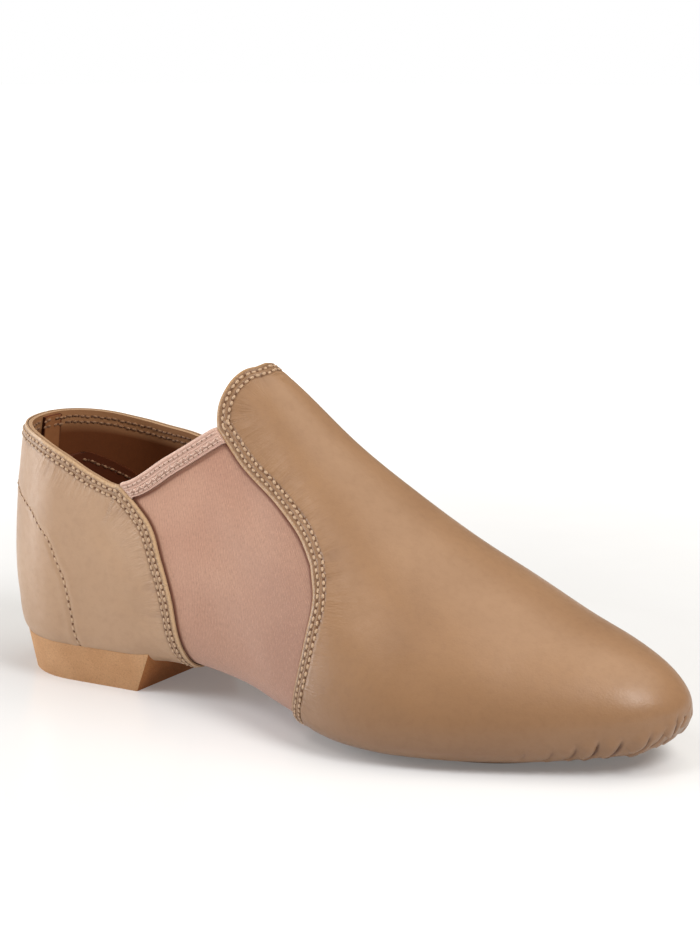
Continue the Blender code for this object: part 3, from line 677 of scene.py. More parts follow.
def vamp_edge_nodes(scale):
    """The whole edge of the vamp on one side, from the sole to the tongue's top."""
    edges = ((VAMP_EDGE, 80, 0), (INSTEP_EDGE, 100, 1), (TONGUE_EDGE, 70, 1))
    nodes = np.vstack([edge_nodes(edge, even(scale * count))[skip:] for edge, count, skip in edges])
    nodes[-1, 1] = RIDGE
    return nodes


def collar_nodes(side, count, start=0.0):
    """The quarter's top edge from the back to its front corner."""
    end = float(distance_at_along(quarter_seam(side, FINE)[-1, 0]))
    along = along_at_distance(mix(start, end, even(count)))
    return np.stack([along, collar_level(along, side)], -1)


def quarter_edge_line(side, out):
    return line_on(side, quarter_seam(side, FINE)[FINE.under:], out)


def gore_top(side):
    """The gore's top edge: its points and the directions up and out there."""
    _, along, level = gore_patch(side, COARSE)
    tops = face(along[:, -1], level[:, -1], side)
    ups = tops - face(along[:, -2], level[:, -2], side)
    ups = ups / np.linalg.norm(ups, axis=1)[:, None]
    return tops, ups, outward(along[:, -1], level[:, -1], side)


edge_length = lengths_of(line_on(-1, vamp_edge_nodes(2), COVER))[-1]
print("vamp edge:", round(edge_length * 1000), "mm on one side")


# %% [markdown]
# ## Finishes
# A finish is a graph of nodes. Sums of masks and waves are easier to read as Python expressions, so
# a small class wraps a socket and adds a Math node for each operator. Leather is a fine pebble of
# cells with a satin gloss, paler on its cut edge. The gores are a stretch weave with upright ribs,
# the bindings are ribbed elastic, and the heel is a foamed crepe full of tiny cells.


# %% Shader helpers
class Link:
    """A socket that takes part in sums."""

    def __init__(self, paint, socket):
        self.paint, self.socket = paint, socket

    def __add__(self, other):
        return self.paint.math("ADD", self, other)

    def __sub__(self, other):
        return self.paint.math("SUBTRACT", self, other)

    def __mul__(self, other):
        return self.paint.math("MULTIPLY", self, other)

    def __pow__(self, other):
        return self.paint.math("POWER", self, other)


class Paint:
    """A material whose nodes are added one by one."""

    def __init__(self, name, **values):
        self.material = bpy.data.materials.new(name)
        self.material.use_nodes = True
        self.tree = self.material.node_tree
        self.shader = self.tree.nodes["Principled BSDF"]
        for key, value in values.items():
            self.shader.inputs[key.replace("_", " ")].default_value = value

    def node(self, kind, settings=None, inputs=None, output=0):
        made = self.tree.nodes.new(kind)
        for key, value in (settings or {}).items():
            setattr(made, key, value)
        for key, value in (inputs or {}).items():
            if isinstance(value, Link):
                self.tree.links.new(value.socket, made.inputs[key])
            else:
                made.inputs[key].default_value = value
        return Link(self, made.outputs[output])

    def feed(self, **values):
        """Links varying values to the shader and gives back the finished material."""
        for key, value in values.items():
            self.tree.links.new(value.socket, self.shader.inputs[key.replace("_", " ")])
        return self.material

    def math(self, operation, *values):
        return self.node("ShaderNodeMath", {"operation": operation}, dict(enumerate(values)))

    def place(self):
        return self.node("ShaderNodeTexCoord", output=3)

    def vector(self, x, y, z=0.0):
        return self.node("ShaderNodeCombineXYZ", {}, {0: x, 1: y, 2: z})

    def noise(self, scale, detail=3.0, rough=0.5, vector=None):
        sizes = {"Scale": scale, "Detail": detail, "Roughness": rough}
        return self.node("ShaderNodeTexNoise", {}, {"Vector": vector or self.place(), **sizes})

    def cells(self, scale, feature="F1"):
        inputs = {"Vector": self.place(), "Scale": scale}
        return self.node("ShaderNodeTexVoronoi", {"feature": feature}, inputs)

    def held(self, name):
        return self.node("ShaderNodeAttribute", {"attribute_name": name}, output=2)

    def wave(self, value, length):
        return self.math("SINE", value * (2 * math.pi / length))

    def between(self, value, low, high, to_low=0.0, to_high=1.0):
        ends = {"From Min": low, "From Max": high, "To Min": to_low, "To Max": to_high}
        return self.node("ShaderNodeMapRange", {}, {"Value": value, **ends})

    def bell(self, value, at, width):
        """1 at a value and 0 beyond a width on both sides of it."""
        return self.between(self.math("ABSOLUTE", value - at), width, 0.0)

    def blend(self, factor, *colours):
        """Two colours mixed by a factor."""
        a, b = ((*c, 1) if isinstance(c, tuple) else c for c in colours)
        return self.node("ShaderNodeMix", {"data_type": "RGBA"}, {0: factor, 6: a, 7: b}, output=2)

    def bump(self, height, distance, strength=1.0, below=None):
        inputs = {"Height": height, "Distance": distance, "Strength": strength}
        if below is not None:
            inputs["Normal"] = below
        return self.node("ShaderNodeBump", {}, inputs)


def toned(colour, share):
    """A colour made deeper or paler by one share, or by one for each channel."""
    return tuple(np.minimum(1.0, np.multiply(colour, share)).tolist())


print("shader helpers:", len([name for name in vars(Paint) if not name.startswith("_")]))


# %% Leather
def leather(name, tan, deep, gloss=0.42, grain=1.0, rows=(), facing=None, painted_shade_below=0.0,
            coat=0.22):
    """Smooth dyed leather: pebble grain, soft blotches, painted shade in creases and grooves.

    A facing is a paler band inside the collar, and painted shade makes the leather a little
    darker low down, near the sole.
    """
    paint = Paint(name, Coat_Weight=coat, Coat_Roughness=0.40, Specular_IOR_Level=0.2 + 1.4 * coat)
    shade = toned(deep, (0.40, 0.30, 0.24))
    blotch, fine = paint.noise(38, 4, 0.55), paint.noise(420, 2, 0.6)
    colour = paint.blend(paint.between(blotch, 0.32, 0.70), tan, deep)
    # Painted shade: darker where the relief sinks, in creases, pleats and the grooves beside rows.
    crease = paint.between(paint.held("relief"), -0.00010, -0.00058)
    colour = paint.blend(crease * 0.92, colour, shade)
    colour = paint.blend(paint.between(fine, 0.45, 0.75) * 0.10, colour, shade)
    skin = paint.bump(paint.noise(170, 3, 0.5), 0.00035, 0.30 * grain)
    if facing:
        colour = paint.blend(paint.held("facing") * 0.85, colour, facing)
    # Painted shade: a little darker low down, near the sole.
    if painted_shade_below:
        height = paint.node("ShaderNodeSeparateXYZ", {}, {0: paint.place()}, output=2)
        low = paint.between(height + (blotch - 0.5) * 0.012, painted_shade_below, painted_shade_below * 0.25)
        colour = paint.blend(low * 0.30, colour, shade)
    if rows:
        colour, skin = beside_seam(paint, rows, tan, deep, colour, skin)
    pebble, pores = paint.cells(1500, "SMOOTH_F1"), paint.cells(2600)
    return paint.feed(
        Base_Color=colour,
        Roughness=paint.between(fine + blotch, 0.6, 1.4, gloss - 0.05, gloss + 0.10),
        Normal=paint.bump(pebble * 0.7 + pores * 0.3, 0.00010, 0.45 * grain, skin))


def beside_seam(paint, rows, tan, deep, colour, skin):
    """What is finer than the mesh: a pale cut edge, a groove under each row, fine puckers."""
    away, run, last = paint.held("edge_distance"), paint.held("edge_run"), rows[-1]
    # Painted shade beside the seam: darker just inside the cut edge, over the band up to the last
    # row, and along each row's groove.
    turned = toned(deep, 0.72)
    ragged = away + (paint.noise(1500, 3, 0.7) - 0.5) * 0.0015
    colour = paint.blend(paint.bell(away, 0.0013, 0.0012) * 0.40, colour, turned)
    colour = paint.blend(paint.between(away, last + 0.0014, last) * 0.32, colour, turned)
    cut = paint.between(ragged, 0.00105, 0.00055) * 0.85
    colour = paint.blend(cut, colour, toned(tan, (1.34, 1.42, 1.34)))
    across = paint.noise(1.0, 3, 0.6, paint.vector(run * 620, away * 95))
    tight = paint.noise(1.0, 2, 0.5, paint.vector(run * 1400, away * 260, 3.0))
    near = paint.between(away, last + 0.0030, last - 0.0006)
    wide = paint.between(away, last + 0.0130, last + 0.0005) ** 1.6
    height = across * wide * 0.9 + tight * near * 0.55
    for row in rows:
        height = height - paint.bell(away, row, 0.00085) * 0.60
        # Each row's groove is darker too: painted shade.
        colour = paint.blend(paint.bell(away, row, 0.0010) * 0.50, colour, turned)
    return colour, paint.bump(height, 0.0011, 0.55, skin)


def raw_edge(name, pale):
    """A cut edge of leather: paler, dry and fibrous."""
    paint = Paint(name)
    fibre = paint.noise(2600, 4, 0.7)
    return paint.feed(Base_Color=paint.blend(fibre, toned(pale, 0.55), pale),
                      Roughness=paint.between(fibre, 0.3, 0.7, 0.75, 0.95),
                      Normal=paint.bump(fibre, 0.00025, 0.8))


VAMP_ROWS, QUARTER_ROWS = (0.0021, 0.0042), (0.0018, 0.0037)
VAMP_LEATHER = leather("vamp leather", (0.328, 0.181, 0.090), (0.280, 0.150, 0.072), 0.38,
                       rows=VAMP_ROWS, painted_shade_below=0.030, coat=0.16)
# The quarter is the same leather as the vamp; its paler tan is painted light.
QUARTER_LEATHER = leather("quarter leather", (0.438, 0.270, 0.158), (0.378, 0.225, 0.126),
                          rows=QUARTER_ROWS)
LINING = leather("lining leather", (0.180, 0.055, 0.017), (0.150, 0.043, 0.012), 0.60, 0.6,
                 facing=(0.52, 0.270, 0.128), coat=0.03)
STRIP_LEATHER = leather("back strip leather", (0.36, 0.150, 0.060), (0.29, 0.112, 0.043),
                        0.55, 0.6, coat=0.05)
COUNTER_COVER = leather("inner counter leather", (0.122, 0.028, 0.007), (0.096, 0.020, 0.005),
                        0.62, 0.8, coat=0.03)
CUT_EDGE = raw_edge("cut leather edge", (0.56, 0.35, 0.20))
# Needle holes are dark discs: painted shade of the holes.
HOLE_SHADE = raw_edge("needle hole", (0.190, 0.085, 0.040))
print("leathers and edges:", len(bpy.data.materials))


# %% Cloth, thread, crepe and suede
SEAM_SHADE = (0.180, 0.060, 0.034)


def stretch(name, rose, deep, pitch=0.00062, painted_shade_share=0.0):
    """Stretch weave: upright ribs with a finer thread across them, and a soft sheen.

    With painted shade, the weave is darker lower down and towards the front.
    """
    paint = Paint(name, Sheen_Weight=0.35, Sheen_Roughness=0.45, Sheen_Tint=(1.0, 0.82, 0.76, 1),
                  Specular_IOR_Level=0.30)
    drift = paint.noise(260, 2, 0.5)
    warp, weft = paint.held("warp"), paint.held("weft")
    ribs = paint.wave(warp + drift * 0.0009, pitch)
    threads = paint.wave(weft + drift * 0.0005, pitch * 0.75)
    slub = paint.noise(1.0, 3, 0.65, paint.vector(warp * 2600, weft * 700))
    height = ribs * 0.15 + threads * 0.05 + slub * 1.4 + paint.noise(1500, 3, 0.7) * 0.6
    dark, light = toned(deep, 0.60), toned(rose, 1.22)
    colour = paint.blend(paint.between(paint.noise(24, 3, 0.55), 0.3, 0.7), rose, deep)
    # Painted shade: the gore darker lower down and towards the front.
    if painted_shade_share:
        colour = paint.blend(paint.between(weft, 0.052, 0.018, 0.0, 0.5 * painted_shade_share), colour, dark)
        colour = paint.blend(paint.between(warp, -0.040, 0.006, 0.0, painted_shade_share), colour, dark)
    colour = paint.blend(paint.between(height, 0.98, 0.55, 0.0, 0.65), colour, dark)
    colour = paint.blend(paint.between(height, 1.05, 1.45, 0.0, 0.45), colour, light)
    # Painted shadow: darker along the leather's edges and under the binding.
    seam = paint.between(paint.held("seam_distance"), 0.0014, 0.0005)
    return paint.feed(Base_Color=paint.blend(seam * 0.92, colour, SEAM_SHADE),
                      Roughness=paint.between(slub, 0.3, 0.7, 0.62, 0.80),
                      Normal=paint.bump(height, 0.00022, 0.60))


def thread(name, tone):
    """Twisted sewing thread."""
    paint = Paint(name, Sheen_Weight=0.15)
    ply = paint.noise(3200, 2, 0.5)
    return paint.feed(Base_Color=paint.blend(ply, toned(tone, 0.62), tone),
                      Roughness=paint.between(ply, 0.3, 0.7, 0.5, 0.7),
                      Normal=paint.bump(ply, 0.00012, 0.6))


def crepe(name, tan, deep):
    """Foamed crepe: tiny open cells, dry, with darker specks."""
    paint = Paint(name, Specular_IOR_Level=0.25)
    speck = paint.noise(1700, 3, 0.75)
    colour = paint.blend(paint.between(paint.noise(60, 2, 0.5), 0.35, 0.65), tan, deep)
    colour = paint.blend(paint.between(speck, 0.52, 0.68) * 0.45, colour, toned(deep, 0.55))
    colour = paint.blend(paint.between(speck, 0.42, 0.30) * 0.35, colour, toned(tan, 1.35))
    return paint.feed(Base_Color=colour, Roughness=paint.between(speck, 0.3, 0.7, 0.80, 0.95),
                      Normal=paint.bump(paint.cells(1500) + speck, 0.00022, 0.55))


def suede(name, brown, deep):
    """Napped leather with a soft short pile."""
    paint = Paint(name, Sheen_Weight=0.4, Sheen_Roughness=0.5, Specular_IOR_Level=0.2)
    nap = paint.noise(1900, 4, 0.7)
    colour = paint.blend(paint.between(paint.noise(55, 4, 0.6), 0.3, 0.7), brown, deep)
    return paint.feed(Base_Color=paint.blend(nap * 0.5, colour, toned(deep, 0.6)),
                      Roughness=paint.between(nap, 0.3, 0.7, 0.85, 0.98),
                      Normal=paint.bump(nap, 0.00025, 0.6))


GORE_WEAVE = stretch("stretch gore", (0.532, 0.311, 0.219), (0.435, 0.229, 0.158), painted_shade_share=0.54)
BINDING_WEAVE = stretch("elastic binding", (0.665, 0.452, 0.366), (0.605, 0.398, 0.320), 0.00045)
THREAD = thread("tan thread", (0.60, 0.400, 0.250))
PALE_THREAD = thread("binding thread", (0.74, 0.52, 0.42))
LINING_THREAD = thread("lining thread", (0.33, 0.165, 0.078))
HEEL_CREPE = crepe("heel crepe", (0.550, 0.316, 0.165), (0.482, 0.262, 0.127))
# A darker crepe for the heel's breast: painted shade.
PAINTED_SHADE_CREPE = crepe("crepe with painted shade", (0.380, 0.155, 0.055), (0.320, 0.120, 0.040))
PAD_SUEDE = suede("forefoot suede", (0.30, 0.19, 0.12), (0.22, 0.14, 0.09))
SOCK_SUEDE = suede("sock suede", (0.27, 0.145, 0.080), (0.20, 0.105, 0.055))
print("finishes:", len([m for m in bpy.data.materials if m.use_nodes]))

# %% [markdown]
# ## The stretch body
# One hollow wall of lined stretch cloth runs from the collar to the toe. Only its gores and the
# waist under the arch show from outside, and its lining shows through the collar. The cloth gives a
# little under the foot's bend, so a few soft folds cross the gore.

# %% Body
FOLDS = (
    # side, (along, height) from, (along, height) to, depth, width
    (-1, (0.345, 0.058), (0.520, 0.036), 0.00075, 0.0055),
    (-1, (0.360, 0.034), (0.500, 0.020), 0.00068, 0.0050),
    (-1, (0.400, 0.074), (0.480, 0.056), 0.00055, 0.0045),
    (1, (0.345, 0.056), (0.510, 0.034), 0.00070, 0.0055),
    (1, (0.370, 0.032), (0.500, 0.020), 0.00060, 0.0050),
)
PATCHES = (quarter_patch, gore_patch, instep_patch, forefoot_patch)
body_sheet = Sheet([patch(side, COARSE) for side in SIDES for patch in PATCHES])
body_points = body_sheet.points
folds = creases(body_points, FOLDS, 30, 0)
body = wall("stretch_body", body_sheet, -BODY_WALL, folds, (GORE_WEAVE, LINING, CUT_EDGE))

# Distances to the leather's edges and to the binding's lower edge, for the gore's painted shadow
# along them.
seams = []
for side in SIDES:
    tops, ups, _ = gore_top(side)
    hem = tops - ups * (BINDING_DEPTH + 0.0002)
    seams += [line_on(side, vamp_edge_nodes(2), 0), quarter_edge_line(side, 0), hem]
seam_distance = np.min([nearest(body_points, line)[0] for line in seams], axis=0)
collars = [line_on(side, collar_nodes(side, 200), 0) for side in SIDES]
below = np.min([nearest(body_points, line)[0] for line in collars], axis=0)
collar_band = 0.8 * (1 - ease((below - BINDING_DEPTH) / 0.0016))
# The lining is also paler towards the front, in the same mask as the collar's facing.
paler_towards_front = 0.26 * ease((body_points[:, 0] + 0.076) / 0.034)
store(body, relief=np.zeros(len(folds)), warp=body_points[:, 0], weft=body_points[:, 2],
      seam_distance=np.minimum(seam_distance, 1.0), facing=np.maximum(collar_band, paler_towards_front))
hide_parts("upper_body")
cloth = sum(p.area for p in body.data.polygons) / 2
print("stretch body:", triangles(body), "triangles,", round(cloth * 1e4, 1), "cm2 of cloth")

# %% [markdown]
# ## The vamp
# The vamp is one piece of leather from the tongue to the toe, lasted under the forefoot. Its edge
# is turned and sewn with two rows. Round the toe the leather is gathered, which leaves short pleats
# at the sole. They are placed one by one, closer together towards the tip.

# %% Pleats and creases
PLEATS = (
    # side, depth, width, lap, then (along, height) from the top down and under
    (-1, 0.00030, 0.0008, 0.00010, (0.853, 0.0090), (0.850, 0.0072), (0.843, 0.0058)),
    (-1, 0.00040, 0.0008, 0.00014,
     (0.882, 0.0100), (0.879, 0.0078), (0.873, 0.0063), (0.863, 0.0055)),
    (-1, 0.00060, 0.0008, 0.00022,
     (0.908, 0.0115), (0.904, 0.0087), (0.897, 0.0068), (0.885, 0.0058)),
    (-1, 0.00095, 0.0008, 0.00040,
     (0.931, 0.0135), (0.928, 0.0103), (0.922, 0.0080), (0.912, 0.0066), (0.899, 0.0058)),
    (-1, 0.00095, 0.0008, 0.00040,
     (0.955, 0.0138), (0.951, 0.0108), (0.944, 0.0086), (0.934, 0.0070), (0.920, 0.0061)),
    (-1, 0.00100, 0.0008, 0.00042,
     (0.980, 0.0155), (0.976, 0.0120), (0.970, 0.0097), (0.960, 0.0080), (0.946, 0.0069)),
    (-1, 0.00050, 0.0007, 0.00025,
     (0.991, 0.0165), (0.988, 0.0136), (0.982, 0.0112), (0.972, 0.0091)),
    (-1, 0.00085, 0.0007, 0.00030,
     (0.9972, 0.0190), (0.9966, 0.0160), (0.9940, 0.0136), (0.9888, 0.0115), (0.980, 0.0098)),
    (-1, 0.00060, 0.0007, 0.00020, (0.9996, 0.0175), (0.9985, 0.0148), (0.9950, 0.0124)),
    (1, 0.00070, 0.0007, 0.00026, (0.9980, 0.0180), (0.9955, 0.0145), (0.989, 0.0115)),
    (1, 0.00085, 0.0008, 0.00035, (0.987, 0.0160), (0.981, 0.0122), (0.970, 0.0094)),
    (1, 0.00095, 0.0008, 0.00040, (0.971, 0.0148), (0.964, 0.0106), (0.952, 0.0080)),
    (1, 0.00095, 0.0008, 0.00040, (0.949, 0.0138), (0.942, 0.0097), (0.928, 0.0070)),
    (1, 0.00080, 0.0008, 0.00035, (0.926, 0.0125), (0.918, 0.0086), (0.904, 0.0062)),
    (1, 0.00060, 0.0008, 0.00025, (0.901, 0.0108), (0.895, 0.0076), (0.883, 0.0058)),
    (1, 0.00040, 0.0008, 0.00014, (0.874, 0.0094), (0.869, 0.0068), (0.860, 0.0054)),
)
VAMP_CREASES = (
    # side, (along, height) from, (along, height) to, depth, width
    (-1, (0.800, 0.0180), (0.700, 0.0300), 0.00030, 0.0060),
    (-1, (0.720, 0.0120), (0.620, 0.0220), 0.00026, 0.0050),
    (-1, (0.690, 0.0360), (0.600, 0.0460), 0.00018, 0.0050),
    (-1, (0.405, 0.0905), (0.375, 0.0985), 0.00030, 0.0016),
    (-1, (0.400, 0.0830), (0.383, 0.0920), 0.00022, 0.0013),
    (1, (0.790, 0.0170), (0.700, 0.0280), 0.00030, 0.0060),
    (1, (0.700, 0.0130), (0.610, 0.0240), 0.00026, 0.0050),
)
print("pleats:", len(PLEATS), "creases:", len(VAMP_CREASES))

# %% Vamp
vamp_sheet = Sheet([patch(side, FINE) for side in SIDES for patch in PATCHES[2:]])
vamp_face = vamp_sheet.at(COVER)
relief = np.zeros(len(vamp_face))
away, run = np.ones(len(vamp_face)), np.zeros(len(vamp_face))
for side in SIDES:
    edge, place, _ = nearest(vamp_face, line_on(side, vamp_edge_nodes(2), COVER))
    own = vamp_sheet.side == side
    relief = np.where(own, sewn(edge, place, VAMP_ROWS, 11 + side), relief)
    away, run = np.where(own, edge, away), np.where(own, place, run)
for side, depth, width, lap, *points in PLEATS:
    relief += pleat(vamp_face, height_line(side, points, 40, COVER), depth, width, lap)
shape = COVER + relief + creases(vamp_face, VAMP_CREASES, 24, COVER)
vamp = wall("vamp_leather", vamp_sheet, CLEARANCE, shape, (VAMP_LEATHER, LINING, CUT_EDGE))
store(vamp, relief=relief, edge_distance=away, edge_run=run)
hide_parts("vamp")
deepest = round(float(relief.min()) * 1000, 2)
print("vamp:", triangles(vamp), "triangles, deepest pleat", deepest, "mm")

# %% [markdown]
# ## The quarter
# The quarter wraps the heel in one piece with a closed seam at the back. A stiff counter sits
# behind it as far as a curved row of stitches, and stands out a little. Two rows of stitches follow
# the collar and the front edge.

# %% Quarter
COUNTER_LINE = ((0.00002, 0.0664), (0.0040, 0.0658), (0.0165, 0.0640), (0.058, 0.0596),
                (0.083, 0.0567), (0.102, 0.0521), (0.122, 0.0474), (0.133, 0.0421),
                (0.146, 0.0359), (0.152, 0.0301), (0.156, 0.0234), (0.157, 0.0193),
                (0.162, 0.0138))
QUARTER_CREASES = (
    (-1, (0.200, 0.0560), (0.265, 0.0400), 0.00022, 0.0035),
    (-1, (0.230, 0.0330), (0.300, 0.0250), 0.00020, 0.0030),
    (1, (0.200, 0.0540), (0.265, 0.0400), 0.00022, 0.0035),
)
FEATHER = 0.0016


def feather(along, level):
    """How far the lasted leather swells over the heel's edge."""
    corner = ease((level - FLAT_EDGE) / 0.14) * (1 - ease((level - 0.66) / 0.22))
    return FEATHER * corner * (1 - ease((along - 0.245) / 0.055))


quarter_sheet = Sheet([quarter_patch(side, FINE) for side in SIDES])
quarter_face = quarter_sheet.at(COVER)
relief = np.zeros(len(quarter_face))
away, run = np.ones(len(quarter_face)), np.zeros(len(quarter_face))
for side in SIDES:
    front, down, _ = nearest(quarter_face, quarter_edge_line(side, COVER))
    top, back, _ = nearest(quarter_face, line_on(side, collar_nodes(side, 200), COVER))
    edge, place = np.minimum(front, top), np.where(front < top, down, back + 0.2)
    gap = nearest(quarter_face, height_line(side, COUNTER_LINE, 160, COVER))[0]
    counter = 0.00014 * hump(gap, 0.0018, 0.0012) - 0.00022 * hump(gap, 0, 0.0006)
    own = quarter_sheet.side == side
    relief = np.where(own, sewn(edge, place, QUARTER_ROWS, 31 + side) + counter, relief)
    away, run = np.where(own, edge, away), np.where(own, place, run)
ahead_of_back = np.where(quarter_face[:, 0] > -0.1, 1, 0)
relief -= 0.00035 * hump(np.abs(quarter_face[:, 1] - CENTRING[1]) + ahead_of_back, 0, 0.0004)
shape = COVER + relief + creases(quarter_face, QUARTER_CREASES, 24, COVER)
shape += feather(quarter_sheet.along, quarter_sheet.level)
quarter = wall("quarter_leather", quarter_sheet, CLEARANCE, shape,
               (QUARTER_LEATHER, LINING, CUT_EDGE))
store(quarter, relief=relief, edge_distance=away, edge_run=run)
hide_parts("quarter")
print("quarter:", triangles(quarter), "triangles")

# %% [markdown]
# ## Bindings
# A folded elastic band finishes the top of each gore. Its cross-section is swept along the gore's
# edge: up the outside in five ribs, over the top and down the inside. Its ends dip under the
# leather.

# %% Bindings
RIBS, RIB_HEIGHT, ROOF_FROM, ROOF_RISE = 5, 0.00016, 0.0002, 0.0012
DIP, DIP_OVER, FRONT_DIP = 0.0010, 1.6, 0.4


def band_profile():
    """Points (out, up) round the band, in metres: outer face with its ribs, roof, inner face."""
    near, far = BINDING_CLEARANCE, BINDING_CLEARANCE + BINDING_THICKNESS
    points = []
    for share in even(30):
        rib = 0.00018 - RIB_HEIGHT * math.cos(share * RIBS * 2 * math.pi)
        points.append((far - rib, mix(-BINDING_DEPTH, ROOF_FROM, share)))
    for share in even(12)[1:-1]:
        turn, middle = math.pi * share, -BODY_WALL / 2
        reach = middle + (far - middle) * math.cos(turn)
        points.append((reach, ROOF_FROM + ROOF_RISE * math.sin(turn)))
    inside = ((-BODY_WALL - far, ROOF_FROM), (-BODY_WALL - far, -BINDING_DEPTH))
    back = ((-BODY_WALL - near, -BINDING_DEPTH), (-BODY_WALL - near, 0.0))
    return np.array([*points, *inside, *back, (near, 0.0), (near, -BINDING_DEPTH)])


def band(name, side):
    """The band swept along the gore's edge, with its line and the directions out and up."""
    tops, ups, outs = gore_top(side)
    sink = ups * np.clip(1 - np.arange(len(tops)) / DIP_OVER, 0, 1)[:, None] * DIP
    tops = tops - sink - sink[::-1] * FRONT_DIP
    first = tops[0] - (tops[1] - tops[0]) * 0.7 - ups[0] * 0.0008
    tops = np.vstack([first, tops, tops[-1] + (tops[-1] - tops[-2]) * 0.9])
    outs, ups = (np.vstack([ways[0], ways, ways[-1]]) for ways in (outs, ups))
    thin = np.ones(len(tops))
    thin[[0, -1]], thin[[1, -2]] = 0.12, 0.55
    profile_points = band_profile()
    reach, rise = profile_points.T
    rings = []
    for top, out, up, scale in zip(tops, outs, ups, thin):
        thinned = np.where(reach > 0, reach * scale, reach)
        rings.append(top + out * thinned[:, None] + up * rise[:, None])
    n, last = len(reach), len(rings) - 1
    faces = [(k * n + j, k * n + (j + 1) % n, (k + 1) * n + (j + 1) % n, (k + 1) * n + j)
             for k in range(last) for j in range(n)]
    faces += [tuple(range(n))[::-1], tuple(range(last * n, last * n + n))]
    if side > 0:
        faces = [ring[::-1] for ring in faces]
    piece = new_piece(name, np.vstack(rings), faces, (BINDING_WEAVE,))
    bm = bmesh.new()
    bm.from_mesh(piece.data)
    bmesh.ops.recalc_face_normals(bm, faces=bm.faces)
    bm.to_mesh(piece.data)
    bm.free()
    piece.data.set_sharp_from_angle(angle=math.radians(50))
    store(piece, warp=np.repeat(lengths_of(tops), n), weft=np.tile(rise, len(rings)),
          seam_distance=np.ones(n * len(rings)))
    return piece, tops, outs, ups


bands = {}
for side, name in zip(SIDES, ("binding_outer", "binding_inner")):
    bands[side] = band(name + "_elastic", side)
    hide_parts(name)

# %% [markdown]
# ## Stitches
# One stitch is a small rounded pill, modelled once from a sphere in edit mode. It is copied along
# each sewn line, with a dark disc of painted shade for the needle hole between one stitch and the
# next. The lines are found by stepping from the leather's edge into the leather and dropping each
# point onto its face.


# %% One stitch and one needle hole
def pill(length, width, height):
    """A stitch's points and faces, from a sphere shaped in edit mode."""
    bpy.ops.object.select_all(action="DESELECT")
    bpy.ops.mesh.primitive_uv_sphere_add(segments=8, ring_count=6, radius=0.5, location=(0, 0, 0))
    made = bpy.context.object
    bpy.ops.object.mode_set(mode="EDIT")
    bpy.ops.mesh.select_all(action="SELECT")
    bpy.ops.transform.rotate(value=math.pi / 2, orient_axis="Y", center_override=(0, 0, 0))
    bpy.ops.transform.resize(value=(length, width, height))
    bpy.ops.object.mode_set(mode="OBJECT")
    points = np.array([v.co for v in made.data.vertices])
    faces = [tuple(p.vertices) for p in made.data.polygons]
    bpy.data.objects.remove(made)
    return points, faces


def row_beside(side, nodes, middle, step, out=COVER):
    """A line a step from an edge into the leather, towards a place in its middle."""
    line = line_on(side, nodes, out)
    run = np.gradient(line, axis=0)
    run /= np.linalg.norm(run, axis=1)[:, None]
    across = np.cross(outward(nodes[:, 0], nodes[:, 1], side), run)
    toward = np.sign((across * (face(*middle, side) - line)).sum(1)).sum()
    return line + across * (step if toward > 0 else -step)


def tree_of(piece, index=0):
    """The piece's faces of one finish, to drop points onto."""
    rings = [tuple(p.vertices) for p in piece.data.polygons if p.material_index == index]
    return BVHTree.FromPolygons([v.co.copy() for v in piece.data.vertices], rings)


def seats(line, tree, pitch, start=0.0):
    """(point, run, normal) at even pitch along a line, dropped onto a face."""
    length = lengths_of(line)
    at = np.arange(start + pitch / 2, length[-1], pitch)
    here, ahead, back = (
        np.stack([np.interp(np.clip(at + shift, 0, length[-1]), length, line[:, k])
                  for k in range(3)], -1) for shift in (0, pitch / 4, -pitch / 4))
    runs = (ahead - back) / np.maximum(np.linalg.norm(ahead - back, axis=1)[:, None], 1e-12)
    found = [tree.find_nearest(Vector(point)) for point in here]
    return [(np.array(spot), run, np.array(normal)) for (spot, normal, *_), run in zip(found, runs)]


def set_along(name, places, pattern, sink, finish):
    """A piece made of copies of a pattern at each (point, run, normal)."""
    shape, rings = pattern
    points, faces = [], []
    for point, run, up in places:
        across = np.cross(up, run)
        across /= np.linalg.norm(across)
        lift = np.cross(run, across)
        turned = shape[:, :1] * run + shape[:, 1:2] * across + shape[:, 2:] * lift
        start = len(points) * len(shape)
        points.append(turned + point + lift * sink)
        faces += [tuple(start + k for k in ring) for ring in rings]
    return new_piece(name, np.vstack(points), faces, (finish,))


STITCH, STITCH_SINK = pill(0.00160, 0.00096, 0.00070), 0.00006
NEEDLE_HOLE, HOLE_SINK = pill(0.00092, 0.00092, 0.00024), 0.00001
PITCH, COUNTER_PITCH = 0.0022, 0.0026
print("one stitch:", len(STITCH[1]), "faces")

# %% [markdown]
# The vamp has two rows round its whole edge, the quarter two along its front and collar, and one
# row holds the counter. Seen through the collar, the same rows show on the lining. A hand on a
# machine never sews quite evenly, so each stitch is turned and moved a little by chance.


# %% Sewn lines
VAMP_MIDDLE, QUARTER_MIDDLE = (0.62, 1.5), (0.16, 1.1)
CHANCE_TURN, CHANCE_ACROSS, CHANCE_AHEAD = 0.12, 0.00010, 0.00012


